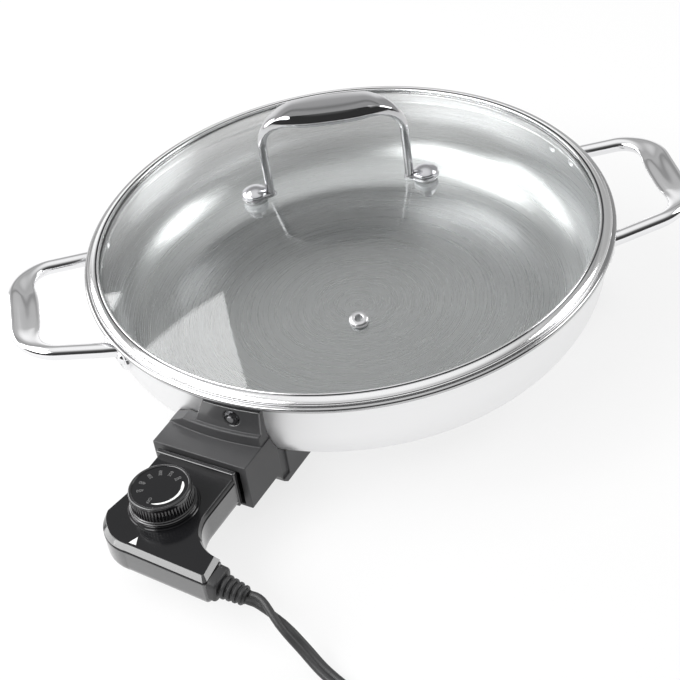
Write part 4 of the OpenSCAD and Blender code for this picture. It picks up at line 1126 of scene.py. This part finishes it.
for node, slot, material in (
    ("lid_washers", "grey_silicone", GREY_SILICONE), ("lid_seals", "grey_silicone", GREY_SILICONE),
    ("lid_nuts", "satin_steel", SATIN_STEEL),
):
    soften(node, [material], 0.3)

# %% [markdown]
# ## Guard and legs
# The guard is a moulded matt hood that keeps hands off the hot terminals and carries the front feet.
# Its upper tab is glossy. A copy of its solid keeps the shape, and rounding its edges lets them
# catch the light as moulded edges do.

# %% Guard, legs and what they hold
glossy_above = 50.6


def guard_zone(p):
    """The glossy tab above the hood's curved band, and the matt rest."""
    return 1 if p.z > glossy_above else 0


# The tab takes the lower shell's glossy black, close to the hood's own tone.
soften("probe_guard", [GUARD_PLASTIC, PAINTED_TRAY_SHEEN_AND_TAB_BLACK], 0.55, zone=guard_zone)
soften("rear_legs", [GUARD_PLASTIC], 0.7)
soften("foot_pads", [BLACK_RUBBER], 0.4)
# The guard's nut takes the steel painted nearly black: painted shade of its recess and of the dark hood it reflects.
for node, slot, material, width in (
    ("guard_stud", "satin_steel", SATIN_STEEL, 0.2), ("guard_nut", "polished_steel", STEEL_PAINTED_SHADE, 0.4),
    ("heat_plate", "cast_aluminium", CAST_METAL, 0.5), ("heating_element", "element_sheath", DARK_SHEATH, 0),
    ("element_pins", "satin_steel", SATIN_STEEL, 0.2), ("terminal_bushings", "ceramic", CERAMIC, 0.2),
    ("probe_well", "satin_steel", SATIN_STEEL, 0.15), ("socket_plate", "satin_steel", SATIN_STEEL, 0.15),
):
    soften(node, [material], width)

# %% [markdown]
# ## Control
# The plug-in control is two glossy shells that meet on a parting line. Its outline has a round front
# corner, a hollow curve into the arm that the cord leaves, and a straight neck. Each shell is a skin
# over that outline, drawn in a little at every step of its rounded edge.

# %% Control outline
neck_half, shell_u = 25.2, 181
control_z, control_low, parting_z = 38, 19.5, 35.6
cove_v = neck_half + cove_r
turn_from = -80


def control_outline(d, end=0.0):
    """The control seen from above, d inside its widest outline and end short of its neck's end."""
    side = 0.4 * d
    line = [(u, -neck_half + side) for u in (shell_u + end, dial_u - 14, dial_u + 1)]
    for k in range(37):
        a = turn_from + (front_lean - turn_from) * k / 36
        line += arc(turn_u, turn_v, turn_r - side - (d - side) * ease((a - turn_from) / 40), a, a, 1)[:1]
    corner = 2.2 - 0.4 * d
    fu = outline_front(d)
    line += arc(fu - corner - 0.1, arm_end - d - corner, corner, front_lean, 90, 8)
    top = math.degrees(math.asin((arm_end - d - cove_v) / (cove_r + side)))
    line += arc(cove_u, cove_v, cove_r + side, top - 4, -90, 30)
    line += [(shell_u + 8, neck_half - side), (shell_u + end, neck_half - side)]
    return line


def control_rings(steps):
    """Outlines at each step of a shell's rounded side."""
    return [[(u, v, z) for u, v in control_outline(d, end)] for d, z, end in steps]


print("points round the control:", len(control_outline(0)))

# %% [markdown]
# The cover has a broad chamfer that shines as a pale line, a flat top, and a round seat for the dial.
# The tray below it has a rounded bottom edge, and a groove is left between the two.

# %% Control shells
chamfer_in, chamfer_low = 3.0, parting_z + 0.15
top_steps = [(1.8, parting_z - 0.1, 0), (0.7, parting_z - 0.1, 0), (0.25, parting_z, 0), (0.1, chamfer_low, 0),
             (0.25, chamfer_low + 0.18, 0), (chamfer_in - 0.3, control_z - 0.2, 0),
             (chamfer_in, control_z - 0.05, 0), (chamfer_in + 0.4, control_z, 0)]
low_steps = [(2.6, control_low, 0.3), (1.4, control_low + 0.4, 0.1), (0.6, control_low + 1.2, 0),
             (0.2, control_low + 2.4, 0), (0, control_low + 4, 0), (0, parting_z - 1.7, 0),
             (0.15, parting_z - 1.4, 0), (0.7, parting_z - 1.3, 0), (1.8, parting_z - 1.3, 0)]
dial_r, dial_h, dial_z = 17.2, 11.5, 40
seat_r, seat_low, seat_z = dial_r + 2.4, control_z - 1, control_z + 0.8
seat_profile = [(seat_r, seat_low), (seat_r, seat_z - 0.4), (seat_r - 0.4, seat_z), (seat_r - 1.0, seat_z),
                (seat_r - 1.0, seat_z + 0.9), (seat_r - 1.3, seat_z + 1.2), (0, seat_z + 1.2), (0, seat_low)]
seat_points, seat_faces, _ = lathe(seat_profile, 96)
seat = ([(x + dial_u, y, z) for x, y, z in seat_points], seat_faces)


def control_shell(name, node, shell, materials):
    """One of the control's two shells, in its place."""
    mesh = mesh_of(name, turned(shell[0], GUARD_TURN), shell[1])
    steady_normals(add_piece(name, mesh, "control", materials, (node,), 40))
    return mesh


cover = join_shells(loft(control_rings(top_steps)), seat)
cover_mesh = control_shell("control_cover", "control_top", cover, [GLOSS_BLACK, COVER_BLACK])
flat_from = (len(top_steps) - 2) * len(control_outline(0))
for face in cover_mesh.polygons[flat_from:]:
    face.material_index = 1
# The tray's black is painted lighter than the cover's, a painted sheen.
control_shell("control_tray", "control_bottom", loft(control_rings(low_steps)), [PAINTED_TRAY_SHEEN_AND_TAB_BLACK])

# %% What the control holds
soften("control_nose", [GLOSS_BLACK], 0.9)
for node, slot, material in (
    ("contact_sleeves", "brass", BRASS), ("probe_tube", "satin_steel", SATIN_STEEL),
    ("thermostat_stack", "ceramic", CERAMIC), ("bimetal_strip", "brass", BRASS), ("contact_arm", "brass", BRASS),
    ("dial_spindle", "satin_steel", SATIN_STEEL),
):
    soften(node, [material], 0.12)

# %% [markdown]
# A white triangle printed on the cover points at the dial. It is a flat wedge, thin as paint.

# %% Pointer on the cover
pointer_tip, pointer_base, pointer_half, paint_t = 236.4, 241.6, 2.3, 0.06
pointer = [(pointer_tip, 0), (pointer_base, -pointer_half), (pointer_base, pointer_half)]
pointer_rings = [[(u, v, z) for u, v in pointer] for z in (control_z - 0.1, control_z + paint_t)]
pointer_points, pointer_faces = loft(pointer_rings)
pointer_mesh = mesh_of("dial_pointer", turned(pointer_points, GUARD_TURN), pointer_faces)
add_piece("dial_pointer", pointer_mesh, "control", [DIAL_PRINT])

# %% [markdown]
# ## Dial
# The dial is a turned knob on two stepped rings, with fine ribs round its side and a flat printed
# face. Its ribs are copies round a ring. The numbers are faint and the arc is white.

# %% Dial knob
knob_profile = [(0, 0.05), (dial_r + 0.9, 0.05), (dial_r + 1.2, 0.3), (dial_r + 1.2, 0.9), (dial_r + 0.9, 1.15),
                (dial_r + 0.3, 1.2), (dial_r + 0.3, 1.4), (dial_r + 0.5, 1.6), (dial_r + 0.5, 1.9),
                (dial_r + 0.2, 2.1), (dial_r - 0.5, 2.2), (dial_r - 0.5, dial_h - 2.6), (dial_r - 0.1, dial_h - 2.3)]
knob_profile += arc(dial_r - 0.9, dial_h - 0.9, 0.9, 0, 90, 6)
knob_profile += [(dial_r - 1.5, dial_h), (dial_r - 1.8, dial_h - 0.2), (dial_r - 1.9, dial_h - 0.5)]
face_strip = len(knob_profile) - 1
knob_profile += [(0, dial_h - 0.5)]
knob_points, knob_faces, knob_strips = lathe(knob_profile, 128)
dial_place = Matrix.Rotation(GUARD_TURN, 4, "Z") @ Matrix.Translation((dial_u * MM, 0, dial_z * MM))
knob_mesh = mesh_of("dial_body", knob_points, knob_faces, dial_place)
add_piece("dial_body", knob_mesh, "dial", [GLOSS_BLACK, COVER_BLACK], ("dial_knob",), 40)
for face, strip in zip(knob_mesh.polygons, knob_strips):
    face.material_index = 1 if strip == face_strip else 0

# %% Dial ribs
rib_count, rib_r = 60, 0.52
rib_profile = [(0, 2.15), (rib_r, 2.15), (rib_r, dial_h - 2.6), (0.25, dial_h - 2.3), (0, dial_h - 2.3)]
rib_points, rib_faces, _ = lathe(rib_profile, 10)
rib_shape = mesh_of("rib", rib_points, rib_faces)
empty_mesh = bpy.data.meshes.new("no_base")
rib_mesh = grown(RING_TREE, empty_mesh, rib_shape, Count=rib_count, Radius=(dial_r - 0.45) * MM, Start=0.0,
                 Step=2 * math.pi / rib_count, Finish=GLOSS_BLACK)
rib_mesh.transform(dial_place)
add_piece("dial_ribs", rib_mesh, "dial", [GLOSS_BLACK], (), 50)

# %% [markdown]
# The print on the dial's face is a white arc that grows broader, faint numbers and OFF. It could be
# painted with a texture, but thin raised shapes stay sharp from near by and need no picture. Text is
# made a mesh first and then moved to its place on the dial.

# %% Dial arc


def flat_band(r_in, r_out, start, end, z, steps=40):
    """A flat printed arc on the dial's face, thinning to round ends."""
    rings = []
    for k in range(steps + 1):
        a = math.radians(start + (end - start) * k / steps)
        half = (r_out - r_in) / 2 * min(1, 0.6 + 0.4 * k / steps) * min(1, 0.3 + 6 * min(k, steps - k) / steps)
        mid = (r_in + r_out) / 2
        rings.append([((mid + s * half) * math.cos(a), (mid + s * half) * math.sin(a), z + h)
                      for s, h in ((-1, 0), (1, 0), (1, 0.05), (-1, 0.05))])
    return loft(rings)


face_z = dial_h - 0.5
arc_points, arc_faces = flat_band(11.5, 13.2, 12, 132, face_z - 0.01)
arc_mesh = mesh_of("dial_arc", arc_points, arc_faces, dial_place)
add_piece("dial_arc", arc_mesh, "dial", [DIAL_PRINT])

# %% Dial numbers
first_mark, mark_step, mark_count = 148, 31.6, 6
mark_r, mark_h = 10.6, 2.6


def printed_number(text, angle, radius, height):
    """A number's flat mesh, read along the dial's radius."""
    curve = bpy.data.curves.new("number", "FONT")
    curve.body = text
    curve.size = height * MM
    curve.extrude = 0.03 * MM
    curve.align_x = "CENTER"
    curve.align_y = "CENTER"
    maker = bpy.data.objects.new("number", curve)
    bpy.context.scene.collection.objects.link(maker)
    graph = bpy.context.evaluated_depsgraph_get()
    mesh = bpy.data.meshes.new_from_object(maker.evaluated_get(graph))
    bpy.data.objects.remove(maker)
    mesh.transform(dial_place @ Matrix.Rotation(math.radians(angle), 4, "Z")
                   @ Matrix.Translation((radius * MM, 0, (face_z + 0.02) * MM)))
    return mesh


marks = [(str(200 + 50 * k), first_mark + mark_step * k) for k in range(mark_count)] + [("OFF", 0)]
for mark, angle in marks:
    mark_mesh = printed_number(mark, angle, mark_r, mark_h)
    add_piece(f"dial_mark_{mark}", mark_mesh, "dial", [FAINT_PRINT])

# %% [markdown]
# ## Cord sleeve
# The sleeve that keeps the cord from kinking has a rounded block on the control and four ribs that
# get smaller towards the cord. Its core is a turned taper, and its ribs are copies of one ring on a
# row of stations, each a smaller share of the first.

# %% Cord sleeve
sleeve_place = (Matrix.Rotation(GUARD_TURN, 4, "Z") @ Matrix.Translation((cord_u * MM, arm_end * MM, cord_z * MM))
                @ Matrix.Rotation(-math.pi / 2 - sleeve_tilt, 4, "X"))
sleeve_core = [(0, 0), (5.4, 0), (5.2, 3.5), (4.2, sleeve_long - 0.6), (3.9, sleeve_long), (0, sleeve_long)]
core_points, core_faces, _ = lathe(sleeve_core, 64)
block_steps = [(-1.2, 8.0), (2.6, 8.0), (3.4, 7.8), (4.0, 7.3), (4.2, 6.6)]
block = loft([[(x, y, z) for z, x, y in rounded_ring(at, half, half - 0.6, 4.5)] for at, half in block_steps])
sleeve_mesh = mesh_of("cord_sleeve", *join_shells((core_points, core_faces), block), sleeve_place)
add_piece("cord_sleeve", sleeve_mesh, "control", [BLACK_RUBBER], ("strain_relief",), 40)

# %% Sleeve ribs
sleeve_rib = [(4.0, -0.2), (6.2, -0.1), (6.6, 0.35), (6.6, 1.45), (6.2, 2.0), (4.0, 2.1)]
sleeve_rib_points, sleeve_rib_faces, _ = lathe(sleeve_rib, 64)
sleeve_rib_shape = mesh_of("sleeve_rib", sleeve_rib_points, sleeve_rib_faces)
sleeve_stations = station_mesh([((0, 0, 5.4 + 3.4 * k), (0, 0, 1), 1 - 0.06 * k) for k in range(4)])
sleeve_rib_mesh = grown(STATIONS_TREE, sleeve_stations, sleeve_rib_shape, Size=1.0, Finish=BLACK_RUBBER)
sleeve_rib_mesh.transform(sleeve_place)
add_piece("sleeve_ribs", sleeve_rib_mesh, "control", [BLACK_RUBBER], (), 40)

# %% [markdown]
# The screws underneath have a cross recess. Their solids have it already, so softened copies of
# these are enough.

# %% Screws underneath
for node in ("guard_screws", "leg_screws", "control_screws"):
    soften(node, [SATIN_STEEL], 0.15)
